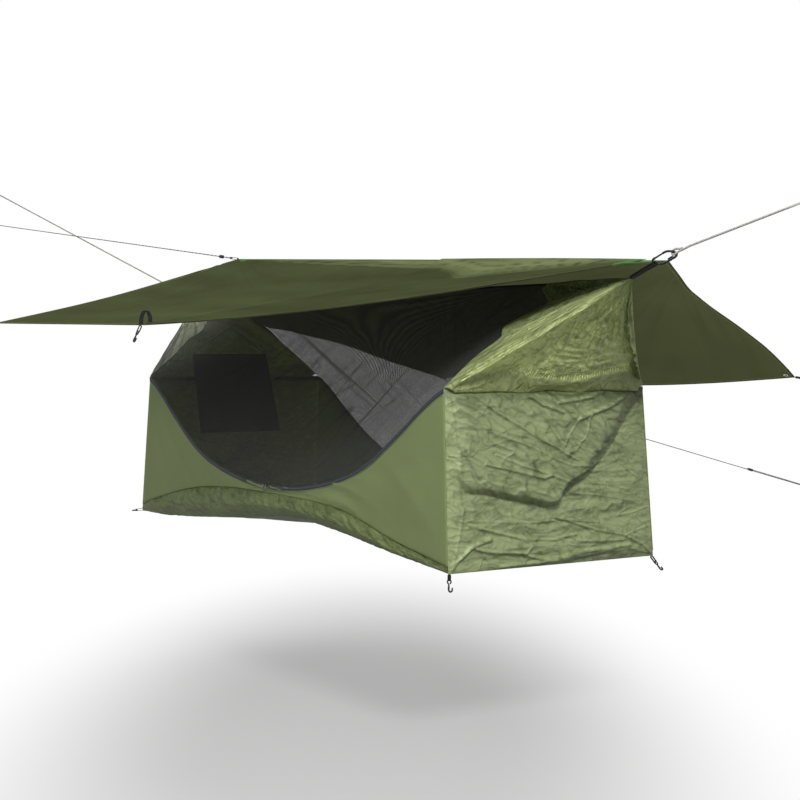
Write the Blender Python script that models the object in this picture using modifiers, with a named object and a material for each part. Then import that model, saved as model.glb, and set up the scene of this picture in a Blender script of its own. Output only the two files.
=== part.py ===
"""A lay-flat hammock tent, hung between two ropes, with its rain fly pitched over it.

Metres, +Z up. X runs along the tent, +X at the head end; -Y is the near side, whose fly
corner is folded back. Places are worked out from the middle of the floor, and the empty
named tent_frame then puts the origin at the head rope's hang point.
"""

import math

import bmesh
import bpy
from mathutils import Matrix, Vector

# The tent body
FLOOR_LENGTH = 2.000
FLOOR_WIDTH = 0.769
TOP_LENGTH = 1.914
TOP_WIDTH = 0.743
WALL_HEIGHT = 0.513
RIDGE_HEIGHT = 0.815
APEX_REACH = 1.312
APEX_RISE = 0.003
CLOTH = 0.0016
GAP = 0.0003

# The hang points, where the suspension ropes bear, beyond and above the apexes
HEAD_HANG_BEYOND = 0.173
HEAD_HANG_RISE = 0.060
FOOT_HANG_BEYOND = 0.173
FOOT_HANG_RISE = 0.045
HARDWARE_SIDE = 0.014

# The zip curve on each side wall: an arc in the middle, then a rise to the corners
ZIP_LOW = 0.173
ZIP_ARC_RADIUS = 1.680
ZIP_ARC_HALF = 0.450
ZIP_RISE_SHARES = ((0, 0), (0.158, 0.103), (0.335, 0.264), (0.592, 0.551), (0.789, 0.792),
                   (0.927, 0.939), (1, 1))
TAPE_WIDTH = 0.017
TAPE_THICK = 0.0012

# The pad sleeve under the walls, and the pad in it
SEAM_HEIGHT = 0.146
SEAM_SHARES = ((-1, 0.16), (-0.93, 0.32), (-0.52, 0.87), (-0.04, 1), (0.43, 0.88),
               (0.76, 0.39), (1, 0.11))
RIM_LIFT = 0.079
RIM_SHARES = ((-1, 0), (-0.75, 0.06), (-0.29, 0.52), (0.1, 1), (0.22, 0.99), (0.4, 0.81),
              (0.76, 0.3), (0.91, 0.12), (1, 0))
SLEEVE_BULGE = 0.022
KEEL_SHARE = 0.4
PAD_LENGTH = 1.860
PAD_WIDTH = 0.640
PAD_THICK = 0.058
PAD_ROOM = 0.0024
PAD_CHANNELS = 8
PAD_CHANNEL_DEPTH = 0.004

# Spreader bars, in the rolled top hem of each end wall
BAR_RADIUS = 0.0055
BAR_ROOM = 0.0006
TIP_LENGTH = 0.014

# End wall folds and the hoods above them
BAG_DEPTH = 0.022
CREASE_DEPTH = 0.010
HEM_REACH = 0.042
HEM_RISE = 0.055
HEM_SHARES = ((0, 0), (0.05, 0.8), (0.12, 1), (0.25, 0.75), (0.43, 0.42), (0.6, 0.58),
              (0.7, 0.86), (0.8, 0.84), (1, 0))
HOOD_SCOOP = 0.018
HOOD_TIP_SHARE = 0.012
RIDGE_CORD_RADIUS = 0.0020
NET_SAG = 0.010
NET_THICK = 0.0012

# Suspension: webbing loop, carabiner, rope
ROPE_RADIUS = 0.0030
STRAP_WIDTH = 0.010
STRAP_THICK = 0.0016
CARABINER_ROD = 0.0032
CARABINER_INSIDE = 0.074
CARABINER_HALF = 0.0145
GATE_ROD = 0.0024
GATE_ROOM = 0.0005
GATE_START_SHARE = 0.30
GATE_END_SHARE = 0.74
EYE_ROOM = 0.0012

APEX_HEAD = Vector((APEX_REACH, 0, RIDGE_HEIGHT + APEX_RISE))
APEX_FOOT = Vector((-APEX_REACH, 0, RIDGE_HEIGHT + APEX_RISE))
HANG = APEX_HEAD + Vector((HEAD_HANG_BEYOND, -HARDWARE_SIDE, HEAD_HANG_RISE))
FOOT_HANG = APEX_FOOT + Vector((-FOOT_HANG_BEYOND, 0, FOOT_HANG_RISE))

# The rain fly: its ridge ends, corners and tie-outs
FLY_HEAD = HANG + Vector((-0.049, 0.030, -0.017))
FLY_FOOT = Vector((-0.952, 0.0, RIDGE_HEIGHT + 0.157))
FLY_FAR_HEAD = Vector((1.080, 0.910, 0.5405))
FLY_FAR_FOOT = Vector((-0.865, 0.912, 0.507))
FLY_NEAR_FOOT = Vector((-0.920, -0.992, 0.706))
FLY_NEAR_MID = Vector((0.333, -0.999, 0.6865))
FLY_FOLD_END = FLY_HEAD + Vector((-0.084, -0.058, -0.005))
FLY_CLOTH = 0.0014
FLY_FAR_SAG = 0.029
FLY_NEAR_SAG = 0.014
FLY_HEAD_EDGE_SHARES = ((0, 0), (0.06, -0.4), (0.17, -1), (0.57, 0), (0.78, 0.3), (1, 0))
FLY_HEAD_EDGE_WAVE = 0.028
FLY_FOOT_DROP = 0.175
FLY_FOOT_DROP_SHARES = ((0, 0), (0.1, 1), (0.25, 0.93), (0.5, 0.56), (0.75, 0.31), (1, 0))
FLY_FOOT_PULL = 0.085
FLY_FOOT_PULL_SHARES = ((0, 0), (0.1, 1), (0.25, 0.35), (0.5, 0), (1, 0))
FLY_FOOT_REACH_SHARE = 0.4
FLAP_CORNER = Vector((0.420, 0.130, 0.880))
FLAP_LIFT = 0.0013
FLAP_BILLOW = 0.013
FLAP_BILLOW_REACH = 0.500
FLAP_FAR_SLOPE_SHARE = 0.30
FLAP_TIP_WIDTH = 0.030

# Small fittings and lines
TAB_LENGTH = 0.026
TAB_HALF = 0.0035
TAB_WIDTH = 0.007
TAB_THICK = 0.0014
HOOK_ROD = 0.0014
HOOK_EYE = 0.0062
HOOK_SEAT = 0.0018
HOOK_SHANK = 0.016
HOOK_BEND = 0.0060
CORNER_LOOP = 0.014
FOOT_CORNER_LOOP = 0.052
LINE_RADIUS = 0.0018
FLY_LINE_RADIUS = 0.0020
SLIDER_WIDTH = 0.009
SLIDER_HEIGHT = 0.009
SLIDER_THICK = 0.0034
PULL_WIDTH = 0.0046
PULL_LENGTH = 0.012
SLIDER_PARK = -0.040
SLIDER_APART = 0.008
LINE_END = Vector((-3.730, -0.030, 1.285))
LINE_LOCK_AT = 0.136
FOOT_TAB = 0.055
GUY_END = Vector((-0.560, 3.015, -0.060))
GUY_LOCK_SHARE = 0.765
SHORT_GUY_END = Vector((1.150, 1.010, 0.520))
EYE_NECK = 0.030
HEAD_HOOK_SIDE = 0.0105
LOCK_RADIUS = 0.0060
LOCK_LENGTH = 0.022
LOCK_ROOM = 0.0004

# The pocket that hangs inside the foot end, and its tie cord
POCKET_TOP = 0.600
POCKET_BOTTOM = 0.295
POCKET_HALF_TOP = 0.160
POCKET_HALF_BOTTOM = 0.176
POCKET_MID_TOP = -0.040
POCKET_MID_BOTTOM = 0.010
POCKET_CORD_PEAK = 0.100
POCKET_THICK = 0.003
POCKET_CORD_RADIUS = 0.0010
TOGGLE_RADIUS = 0.0045
TOGGLE_LENGTH = 0.026
TOGGLE_INSET = 0.035

UP = Vector((0, 0, 1))
AWAY = Vector((0, 1, 0))
ALONG = Vector((1, 0, 0))
SEGMENTS = 24
HOOD_ROWS = 9

for old in list(bpy.data.objects):
    bpy.data.objects.remove(old, do_unlink=True)

PARTS = bpy.data.collections.new("hammock_tent")
bpy.context.scene.collection.children.link(PARTS)
TENT = bpy.data.objects.new("tent_frame", None)
TENT.location = -HANG
PARTS.objects.link(TENT)


def make_finish(name, colour, roughness, metallic=0.0):
    """A plain material with the piece's colour."""
    mat = bpy.data.materials.new(name)
    mat.use_nodes = True
    shader = mat.node_tree.nodes["Principled BSDF"]
    shader.inputs["Base Color"].default_value = (*colour, 1)
    shader.inputs["Roughness"].default_value = roughness
    shader.inputs["Metallic"].default_value = metallic
    mat.diffuse_color = (*colour, 1)
    return mat


WALL_GREEN = make_finish("wall_green", (0.14, 0.18, 0.07), 0.6)
PALE_GREEN = make_finish("pale_green", (0.26, 0.34, 0.15), 0.45)
FLY_GREEN = make_finish("fly_green", (0.10, 0.12, 0.05), 0.55)
BLACK_NET = make_finish("black_net", (0.012, 0.012, 0.013), 0.8)
PAD_GREY = make_finish("pad_grey", (0.12, 0.13, 0.12), 0.6)
ZIP_BLACK = make_finish("zip_black", (0.01, 0.01, 0.014), 0.6)
WEBBING = make_finish("webbing_black", (0.01, 0.01, 0.01), 0.7)
BLACK_METAL = make_finish("black_metal", (0.02, 0.02, 0.02), 0.35, 0.9)
ALLOY = make_finish("dark_alloy", (0.05, 0.05, 0.055), 0.3, 0.9)
BLACK_PLASTIC = make_finish("black_plastic", (0.015, 0.015, 0.015), 0.45)
GREY_CORD = make_finish("grey_cord", (0.45, 0.44, 0.42), 0.8)
FLECK_CORD = make_finish("fleck_cord", (0.05, 0.05, 0.05), 0.7)


def spline(table, share):
    """The value at share on a smooth curve through the table's points."""
    share = min(max(share, table[0][0]), table[-1][0])
    i = max(n for n in range(len(table) - 1) if table[n][0] <= share)
    (x0, y0), (x1, y1) = table[i], table[i + 1]

    def slope(n):
        a, b = table[max(n - 1, 0)], table[min(n + 1, len(table) - 1)]
        return (b[1] - a[1]) / (b[0] - a[0])

    run = x1 - x0
    t = (share - x0) / run
    rise = slope(i) * run
    fall = slope(i + 1) * run
    return ((2 * t - 3) * t * t + 1) * y0 + ((t - 2) * t + 1) * t * rise \
        + (3 - 2 * t) * t * t * y1 + (t - 1) * t * t * fall


def half_length(z):
    """From the middle of the tent to the end wall's outer face, at height z."""
    return (FLOOR_LENGTH - (FLOOR_LENGTH - TOP_LENGTH) * z / WALL_HEIGHT) / 2


def half_width(z):
    """From the middle of the tent to the side wall's outer face, at height z."""
    return (FLOOR_WIDTH - (FLOOR_WIDTH - TOP_WIDTH) * z / WALL_HEIGHT) / 2


def zip_height(x):
    """Height of the zip curve at x along the tent."""
    x = min(abs(x), TOP_LENGTH / 2)
    side = min(x, ZIP_ARC_HALF)
    low = ZIP_LOW + ZIP_ARC_RADIUS - math.sqrt(ZIP_ARC_RADIUS ** 2 - side ** 2)
    rest = (x - side) / (TOP_LENGTH / 2 - ZIP_ARC_HALF)
    return low + (WALL_HEIGHT - low) * spline(ZIP_RISE_SHARES, rest)


def seam_height(share):
    return SEAM_HEIGHT * spline(SEAM_SHARES, share)


def rim_height(share):
    return RIM_LIFT * spline(RIM_SHARES, share)


def add(name, data, finish, pivot, parent=None):
    """Link a mesh or curve, given in tent places, with its origin at the pivot."""
    data.transform(Matrix.Translation(-pivot))
    data.materials.append(finish)
    obj = bpy.data.objects.new(name, data)
    obj.location = pivot
    obj.parent = parent or TENT
    PARTS.objects.link(obj)
    return obj


def mesh_from(bm, name, welded):
    if welded:
        bmesh.ops.remove_doubles(bm, verts=bm.verts, dist=GAP / 10)
    mesh = bpy.data.meshes.new(name)
    bm.to_mesh(mesh)
    bm.free()
    mesh.shade_smooth()
    return mesh


def cloth(name, place, columns, rows, outward, finish, thick=CLOTH, pivot=Vector(), welded=False):
    """A sheet whose outer face follows place(u, v), with its thickness inside that face."""
    bm = bmesh.new()
    bmesh.ops.create_grid(bm, x_segments=columns, y_segments=rows, size=1)
    for vert in bm.verts:
        vert.co = place((vert.co.x + 1) / 2, (vert.co.y + 1) / 2)
    bm.normal_update()
    facing = sum((face.normal * face.calc_area() for face in bm.faces), Vector())
    if facing.dot(outward) < 0:
        bmesh.ops.reverse_faces(bm, faces=bm.faces)
    obj = add(name, mesh_from(bm, name, welded), finish, pivot)
    wall = obj.modifiers.new("thickness", "SOLIDIFY")
    wall.thickness = thick
    wall.offset = -1
    return obj


def tube(name, points, radius, finish, pivot=Vector(), cyclic=False, sides=2, shares=()):
    """A round rod or cord along the points, thinner by the shares where they are given."""
    curve = bpy.data.curves.new(name, "CURVE")
    curve.dimensions = "3D"
    curve.bevel_depth = radius
    curve.bevel_resolution = sides
    curve.use_fill_caps = True
    line = curve.splines.new("POLY")
    line.points.add(len(points) - 1)
    for point, place in zip(line.points, points):
        point.co = (*place, 1)
    for point, share in zip(line.points, shares):
        point.radius = share
    line.use_cyclic_u = cyclic
    return add(name, curve, finish, pivot)


def band(name, loops, across, thick, finish, pivot=Vector()):
    """Closed webbing loops: each loop is a list of places, swept along the vector across."""
    bm = bmesh.new()
    for loop in loops:
        ring = bmesh.ops.create_circle(bm, segments=len(loop), radius=1)["verts"]
        for vert, place in zip(ring, loop):
            vert.co = place - across / 2
        edges = [edge for edge in bm.edges if all(vert in ring for vert in edge.verts)]
        swept = bmesh.ops.extrude_edge_only(bm, edges=edges)["geom"]
        bmesh.ops.translate(bm, vec=across, verts=[g for g in swept if isinstance(g, bmesh.types.BMVert)])
    bmesh.ops.recalc_face_normals(bm, faces=bm.faces)
    obj = add(name, mesh_from(bm, name, False), finish, pivot)
    wall = obj.modifiers.new("thickness", "SOLIDIFY")
    wall.thickness = thick
    wall.offset = 0
    wall.use_even_offset = True
    return obj


def stadium(start, end, half, normal, steps=5):
    """Places round a long loop from start to end, half wide to each side along normal."""
    axis = (end - start).normalized()
    places = []
    for centre, turn in ((end, 1), (start, -1)):
        for step in range(steps):
            angle = math.pi * (step / (steps - 1) - 0.5)
            places.append(centre + (axis * math.cos(angle) + normal * math.sin(angle)) * half * turn)
    return places


def smooth_line(points, count):
    """Count places along a smooth curve through a few points."""
    marks = [0.0]
    for a, b in zip(points, points[1:]):
        marks.append(marks[-1] + (b - a).length)
    tables = [[(mark / marks[-1], point[axis]) for mark, point in zip(marks, points)] for axis in range(3)]
    return [Vector([spline(table, n / (count - 1)) for table in tables]) for n in range(count)]


def eye_route(centre, way, normal, side, back, corner, neck, beside):
    """Places from a cord's tail round its eye and back beside the tail, neck along way."""
    end = min(side * 4, neck * 0.7)
    half = ((end, beside), (side * 1.7, side * 0.8), (side * 0.25, side), (-back * corner, side * corner))
    shares = half + ((-back, 0),) + tuple((along, -out) for along, out in half[::-1])
    eye = smooth_line([centre + way * along + normal * out for along, out in shares], 29)
    return [centre + way * neck + normal * beside] + eye + [centre + way * neck - normal * beside]


def eyed_line(name, centre, side, back, corner, far, normal, radius, finish, neck=EYE_NECK):
    """A cord whose end is an eye round centre, drawn out straight to far."""
    away = (far - centre).normalized()
    normal = (normal - away * normal.dot(away)).normalized()
    points = eye_route(centre, away, normal, side + radius, back + radius, corner, neck, radius + GAP)
    points.append(centre + away * (neck + EYE_NECK))
    points += [points[-1].lerp(far, share) for share in (0.25, 0.5, 0.75, 1)]
    return tube(name, points, radius, finish)


def stations(end):
    """Places along the tent for the zip's edge, closer together beside the spreader bars."""
    clear = TOP_LENGTH / 2 - 2 * (BAR_RADIUS + BAR_ROOM + CLOTH) - 4 * GAP
    inner = [clear * 0.982 * (2 * n / SEGMENTS - 1) for n in range(SEGMENTS + 1)]
    return [-end, -clear] + inner + [clear, end]


def side_walls():
    """The two long walls, from the sleeve's seam up to the zip."""
    places = stations(TOP_LENGTH / 2)
    for name, side in (("near_wall", -1), ("far_wall", 1)):
        def place(u, v, side=side):
            share = places[round(u * (len(places) - 1))] / (TOP_LENGTH / 2)
            low = seam_height(share) + GAP
            high = zip_height(share * TOP_LENGTH / 2)
            z = low + (high - low) * v
            x = half_length(low) + (TOP_LENGTH / 2 - half_length(low)) * v
            return Vector((share * x, side * half_width(z), z))
        cloth(name, place, len(places) - 1, 3, AWAY * side, WALL_GREEN)


def zips():
    """Zip tapes on the walls, and the sliders, which run on the arc in the middle."""
    lean = math.atan((FLOOR_WIDTH - TOP_WIDTH) / 2 / WALL_HEIGHT)
    places = stations(TOP_LENGTH / 2)
    for label, side in (("near", -1), ("far", 1)):
        def place(u, v, side=side):
            share = places[round(u * (len(places) - 1))] / (TOP_LENGTH / 2)
            high = zip_height(share * TOP_LENGTH / 2)
            z = high - TAPE_WIDTH * (1 - v)
            return Vector((share * TOP_LENGTH / 2, side * (half_width(z) + GAP + TAPE_THICK), z))
        cloth(f"{label}_zip_tape", place, len(places) - 1, 1, AWAY * side, ZIP_BLACK, TAPE_THICK)

        centre_z = ZIP_LOW + ZIP_ARC_RADIUS
        face = half_width(centre_z) + 2 * GAP + TAPE_THICK + SLIDER_THICK / 2
        hub = bpy.data.objects.new(f"{label}_zip_centre", None)
        hub.parent = TENT
        hub.location = (0, side * face, centre_z)
        hub.rotation_euler = (math.pi / 2 + side * lean, 0, 0)
        PARTS.objects.link(hub)
        for end, shift in (("foot", -SLIDER_APART), ("head", SLIDER_APART)):
            outline = slider_outline()
            curve = bpy.data.curves.new(f"{label}_zip_slider_{end}", "CURVE")
            curve.dimensions = "2D"
            curve.fill_mode = "BOTH"
            curve.extrude = SLIDER_THICK / 2
            line = curve.splines.new("POLY")
            line.points.add(len(outline) - 1)
            line.use_cyclic_u = True
            for point, (x, y) in zip(line.points, outline):
                point.co = (x, y, 0, 1)
            curve.materials.append(BLACK_METAL)
            slider = bpy.data.objects.new(curve.name, curve)
            slider.parent = hub
            slider.rotation_euler = (0, 0, (SLIDER_PARK + shift) / ZIP_ARC_RADIUS)
            PARTS.objects.link(slider)


def slider_outline():
    """Slider body and hanging pull, seen from outside, hung below the arc's centre."""
    top = -ZIP_ARC_RADIUS - GAP * 4
    body, pull = SLIDER_WIDTH / 2, PULL_WIDTH / 2
    waist = top - SLIDER_HEIGHT
    foot = waist - PULL_LENGTH
    return ((-body, top), (-body, waist + pull), (-pull, waist), (-pull, foot + pull), (0, foot),
            (pull, foot + pull), (pull, waist), (body, waist + pull), (body, top))


def floor_height(share, y):
    """Outer face of the bottom sheet: a shallow keel whose edges the walls draw up."""
    out = max(0.0, abs(y) / half_width(0) - 0.35) / 0.65
    return rim_height(share) * (KEEL_SHARE + (1 - KEEL_SHARE) * min(out, 1))


def pad_sleeve():
    """The double floor: a flat tube of cloth round the pad, open at its two ends."""
    room = CLOTH + PAD_ROOM

    def place(u, v):
        share = 2 * u - 1
        seam, rim, wide = seam_height(share), rim_height(share), half_width(0)
        top = [floor_height(share, y * wide) + PAD_THICK + 2 * room for y in (0, 0.45, 0.8)]
        shoulder = max(top[2], seam + 2 * CLOTH)
        bulge = SLEEVE_BULGE * max(math.cos(share * math.pi / 2), 0) ** 0.5
        half = ((0, top[0]), (0.45 * wide, top[1]), (0.8 * wide, shoulder),
                (half_width(shoulder) - CLOTH - 2 * GAP, shoulder),
                (half_width(seam) - CLOTH - 2 * GAP, seam - GAP),
                (wide + bulge, (seam + rim) / 2), (0.985 * wide, rim),
                (0.7 * wide, floor_height(share, 0.7 * wide)),
                (0.36 * wide, floor_height(share, 0.36 * wide)), (0, floor_height(share, 0)))
        last = len(half) - 1
        step = round(v * 2 * last)
        y, z = half[step] if step <= last else half[2 * last - step]
        side = -1 if step <= last else 1
        inner = half_length(z) - CLOTH - 2 * GAP
        return Vector((share * inner, side * y, z))

    bm = bmesh.new()
    bmesh.ops.create_grid(bm, x_segments=20, y_segments=18, size=1)
    for vert in bm.verts:
        vert.co = place((vert.co.x + 1) / 2, (vert.co.y + 1) / 2)
    bmesh.ops.remove_doubles(bm, verts=bm.verts, dist=GAP / 10)
    bmesh.ops.recalc_face_normals(bm, faces=bm.faces)
    middle = min(bm.faces, key=lambda f: f.calc_center_median().z)
    if middle.normal.z > 0:
        bmesh.ops.reverse_faces(bm, faces=bm.faces)
    sleeve = add("pad_sleeve", mesh_from(bm, "pad_sleeve", False), WALL_GREEN, Vector())
    wall = sleeve.modifiers.new("thickness", "SOLIDIFY")
    wall.thickness = CLOTH
    wall.offset = -1


def pad_top(share, y):
    """Height of the pad's upper face, with its lengthwise channels."""
    across = min(abs(y) / (PAD_WIDTH / 2), 1)
    crown = (1 - across ** 4) ** 0.5
    end = (1 - min(abs(share), 1) ** 14) ** 0.5
    ripple = PAD_CHANNEL_DEPTH * (abs(math.cos(across * PAD_CHANNELS * math.pi / 2)) - 1) * crown
    return (PAD_THICK / 2 + ripple) * crown * end


def sleeping_pad():
    """The inflated pad: crowned channels, sides drawn in, arched with the floor."""
    rings, around = 22, 36
    bm = bmesh.new()
    bmesh.ops.create_grid(bm, x_segments=rings, y_segments=around, size=1)
    for vert in bm.verts:
        share = vert.co.x * 0.995
        angle = math.pi * vert.co.y
        taper = (1 - abs(share) ** 14) ** 0.5
        y = PAD_WIDTH / 2 * math.sin(angle) * (0.8 + 0.2 * taper)
        middle = floor_height(share, y) + CLOTH + PAD_ROOM + PAD_THICK / 2
        lift = pad_top(share, y) * (1 if math.cos(angle) >= 0 else -1)
        vert.co = (share * PAD_LENGTH / 2, y, middle + lift)
    bmesh.ops.remove_doubles(bm, verts=bm.verts, dist=GAP / 10)
    bmesh.ops.holes_fill(bm, edges=[edge for edge in bm.edges if edge.is_boundary], sides=0)
    bmesh.ops.recalc_face_normals(bm, faces=bm.faces)
    add("sleeping_pad", mesh_from(bm, "sleeping_pad", False), PAD_GREY, Vector())


def end_wall_push(y_share, z_share, sign):
    """How far the loose cloth of an end wall bags out: folds that run to the top corner."""
    edge = math.sin(math.pi * y_share) ** 0.6
    line = 0.3 + 0.62 * max(0.0, y_share - 0.45) / 0.55
    over = min(max((z_share - line) / 0.14, 0), 1) * (1 - max(0.0, (z_share - 0.8) / 0.2))
    bag = BAG_DEPTH * over * over * (3 - 2 * over) * edge
    wave = 1 + math.sin(4 * math.pi * (z_share + 0.25 * y_share))
    crease = CREASE_DEPTH * wave * edge * z_share * (1 - z_share)
    return sign * (bag + crease)


def end_walls():
    """The end walls, whose top hem is rolled round the spreader bar."""
    roll = BAR_RADIUS + BAR_ROOM + CLOTH
    panel_rows, roll_rows = 11, 8
    for name, sign in (("head_end_wall", 1), ("foot_end_wall", -1)):
        def place(u, v, sign=sign):
            row = v * (panel_rows + roll_rows)
            bar_z = WALL_HEIGHT - roll
            if row <= panel_rows + 0.01:
                share = row / panel_rows
                z = bar_z * share
                x = half_length(z) + end_wall_push(u, share, 1)
            else:
                angle = (row - panel_rows) / roll_rows * math.radians(290)
                x = half_length(bar_z) - roll + roll * math.cos(angle)
                z = bar_z + roll * math.sin(angle)
            wide = half_width(z) - CLOTH - 2 * GAP
            return Vector((sign * x, (2 * u - 1) * wide, z))
        cloth(name, place, 14, panel_rows + roll_rows, ALONG * sign, PALE_GREEN)


def spreader_bars():
    """The bar in each end wall's top hem, with a plastic tip at each end."""
    roll = BAR_RADIUS + BAR_ROOM + CLOTH
    bar_z = WALL_HEIGHT - roll
    bar_x = half_length(bar_z) - roll
    tip_end = half_width(bar_z) - CLOTH - 3 * GAP
    bar_end = tip_end - TIP_LENGTH
    for end, sign in (("head", 1), ("foot", -1)):
        ends = [Vector((sign * bar_x, y, bar_z)) for y in (-bar_end, 0, bar_end)]
        tube(f"{end}_spreader_bar", ends, BAR_RADIUS, ALLOY, sides=3)
        for label, side in (("near", -1), ("far", 1)):
            name = f"{end}_bar_tip_{label}"
            shift = Matrix.Translation((sign * bar_x, side * (tip_end - TIP_LENGTH / 2), bar_z))
            bm = bmesh.new()
            bmesh.ops.create_cone(bm, cap_ends=True, segments=12, radius1=BAR_RADIUS,
                                  radius2=BAR_RADIUS * 0.8, depth=TIP_LENGTH - 2 * GAP,
                                  matrix=shift @ Matrix.Rotation(-side * math.pi / 2, 4, "X"))
            add(name, mesh_from(bm, name, False), BLACK_PLASTIC, Vector())


def hood_loop(share, ruffle):
    """The hood's open edge: up one net seam, down the other, then back above the bar.

    The ruffle is the gathered band that stands out from that last stretch.
    """
    seam_x = TOP_LENGTH / 2 + GAP
    base = WALL_HEIGHT + CLOTH + GAP
    half = TOP_WIDTH / 2
    if share <= 0.5:
        along = 4 * share - 1
        return Vector((seam_x, along * half, RIDGE_HEIGHT - (RIDGE_HEIGHT - base) * abs(along)))
    along = (share - 0.5) * 2
    rise = HEM_RISE * spline(HEM_SHARES, along) * ruffle
    out = HEM_REACH * max(math.sin(math.pi * along), 0) ** 0.5 * ruffle
    return Vector((seam_x + out, half * (1 - 2 * along), base + rise))


def hood_place(u, v, sign):
    """A hood face point: v runs from the apex to the open edge."""
    row = round(v * HOOD_ROWS)
    tuck = 0.5 < u < 1 and row == HOOD_ROWS
    if 0.5 < u < 1:
        reach = min(row / (HOOD_ROWS - 1), 1)
    else:
        reach = v
    point = APEX_HEAD.lerp(hood_loop(u, 0 if tuck else 1), HOOD_TIP_SHARE + (1 - HOOD_TIP_SHARE) * reach)
    if 0.5 < u < 1 and not tuck:
        scoop = HOOD_SCOOP * math.sin(math.pi * reach) * math.sin(math.pi * (u - 0.5) * 2) ** 0.7
        point += Vector((-0.6, 0, 0.8)) * scoop
    slack = math.exp(-((u - 0.5) / 0.06) ** 2) * math.sin(math.pi * v)
    point.y -= HOOD_SCOOP * 0.7 * slack
    point.x *= sign
    return point


def hoods():
    """The gable hoods: cloth cones from the apex to the net seams and the elastic hem."""
    for name, sign in (("head_hood", 1), ("foot_hood", -1)):
        def place(u, v, sign=sign):
            return hood_place(u, v, sign)
        bm = bmesh.new()
        bmesh.ops.create_grid(bm, x_segments=28, y_segments=HOOD_ROWS, size=1)
        for vert in bm.verts:
            vert.co = place((vert.co.x + 1) / 2, (vert.co.y + 1) / 2)
        bmesh.ops.remove_doubles(bm, verts=bm.verts, dist=GAP / 10)
        cap = [edge for edge in bm.edges if edge.is_boundary
               and all(abs(vert.co.x) > APEX_REACH - HEM_REACH for vert in edge.verts)]
        bmesh.ops.holes_fill(bm, edges=cap, sides=0)
        bmesh.ops.recalc_face_normals(bm, faces=bm.faces)
        top = max(bm.faces, key=lambda f: f.calc_center_median().z - abs(f.calc_center_median().x))
        if top.normal.z < 0:
            bmesh.ops.reverse_faces(bm, faces=bm.faces)
        hood = add(name, mesh_from(bm, name, False), PALE_GREEN, Vector())
        wall = hood.modifiers.new("thickness", "SOLIDIFY")
        wall.thickness = CLOTH
        wall.offset = -1


def net_doors():
    """The two slopes of insect net, each hung from the ridge and zipped to its wall."""
    end = TOP_LENGTH / 2 - CLOTH - GAP
    places = stations(end)
    for label, side in (("near", -1), ("far", 1)):
        hinge = Vector((0, side * (RIDGE_CORD_RADIUS + GAP), RIDGE_HEIGHT))

        def place(u, v, side=side, hinge=hinge):
            x = places[round(u * (len(places) - 1))]
            share = x / end
            z = (WALL_HEIGHT if abs(x) > places[-2] - GAP else zip_height(x)) + GAP + NET_THICK
            foot = Vector((x, side * half_width(z), z))
            head = Vector((x, hinge.y, RIDGE_HEIGHT))
            point = foot.lerp(head, v)
            sag = NET_SAG * math.sin(math.pi * v) * (1 - share ** 4)
            return point - Vector((0, side * 0.6, 0.8)) * sag
        cloth(f"{label}_net_door", place, len(places) - 1, 5, Vector((0, side, 1)), BLACK_NET,
              NET_THICK, hinge)

    drop = (CLOTH + RIDGE_CORD_RADIUS) / math.sin(math.atan(TOP_WIDTH / 2 / (RIDGE_HEIGHT - WALL_HEIGHT)))
    cord_z = RIDGE_HEIGHT - drop - 2 * GAP
    end = APEX_REACH - 0.028
    tube("ridge_cord", [Vector((x, 0, cord_z)) for x in (-end, 0, end)], RIDGE_CORD_RADIUS, WEBBING)
    bm = bmesh.new()
    place = Matrix.Translation((TOP_LENGTH / 2 + TOGGLE_INSET, 0,
                                cord_z - RIDGE_CORD_RADIUS - GAP - TOGGLE_RADIUS))
    bmesh.ops.create_cone(bm, cap_ends=True, segments=12, radius1=TOGGLE_RADIUS, radius2=TOGGLE_RADIUS,
                          depth=TOGGLE_LENGTH, matrix=place @ Matrix.Rotation(math.pi / 2, 4, "Y"))
    add("ridge_toggle", mesh_from(bm, "ridge_toggle", False), BLACK_PLASTIC, Vector())


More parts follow.
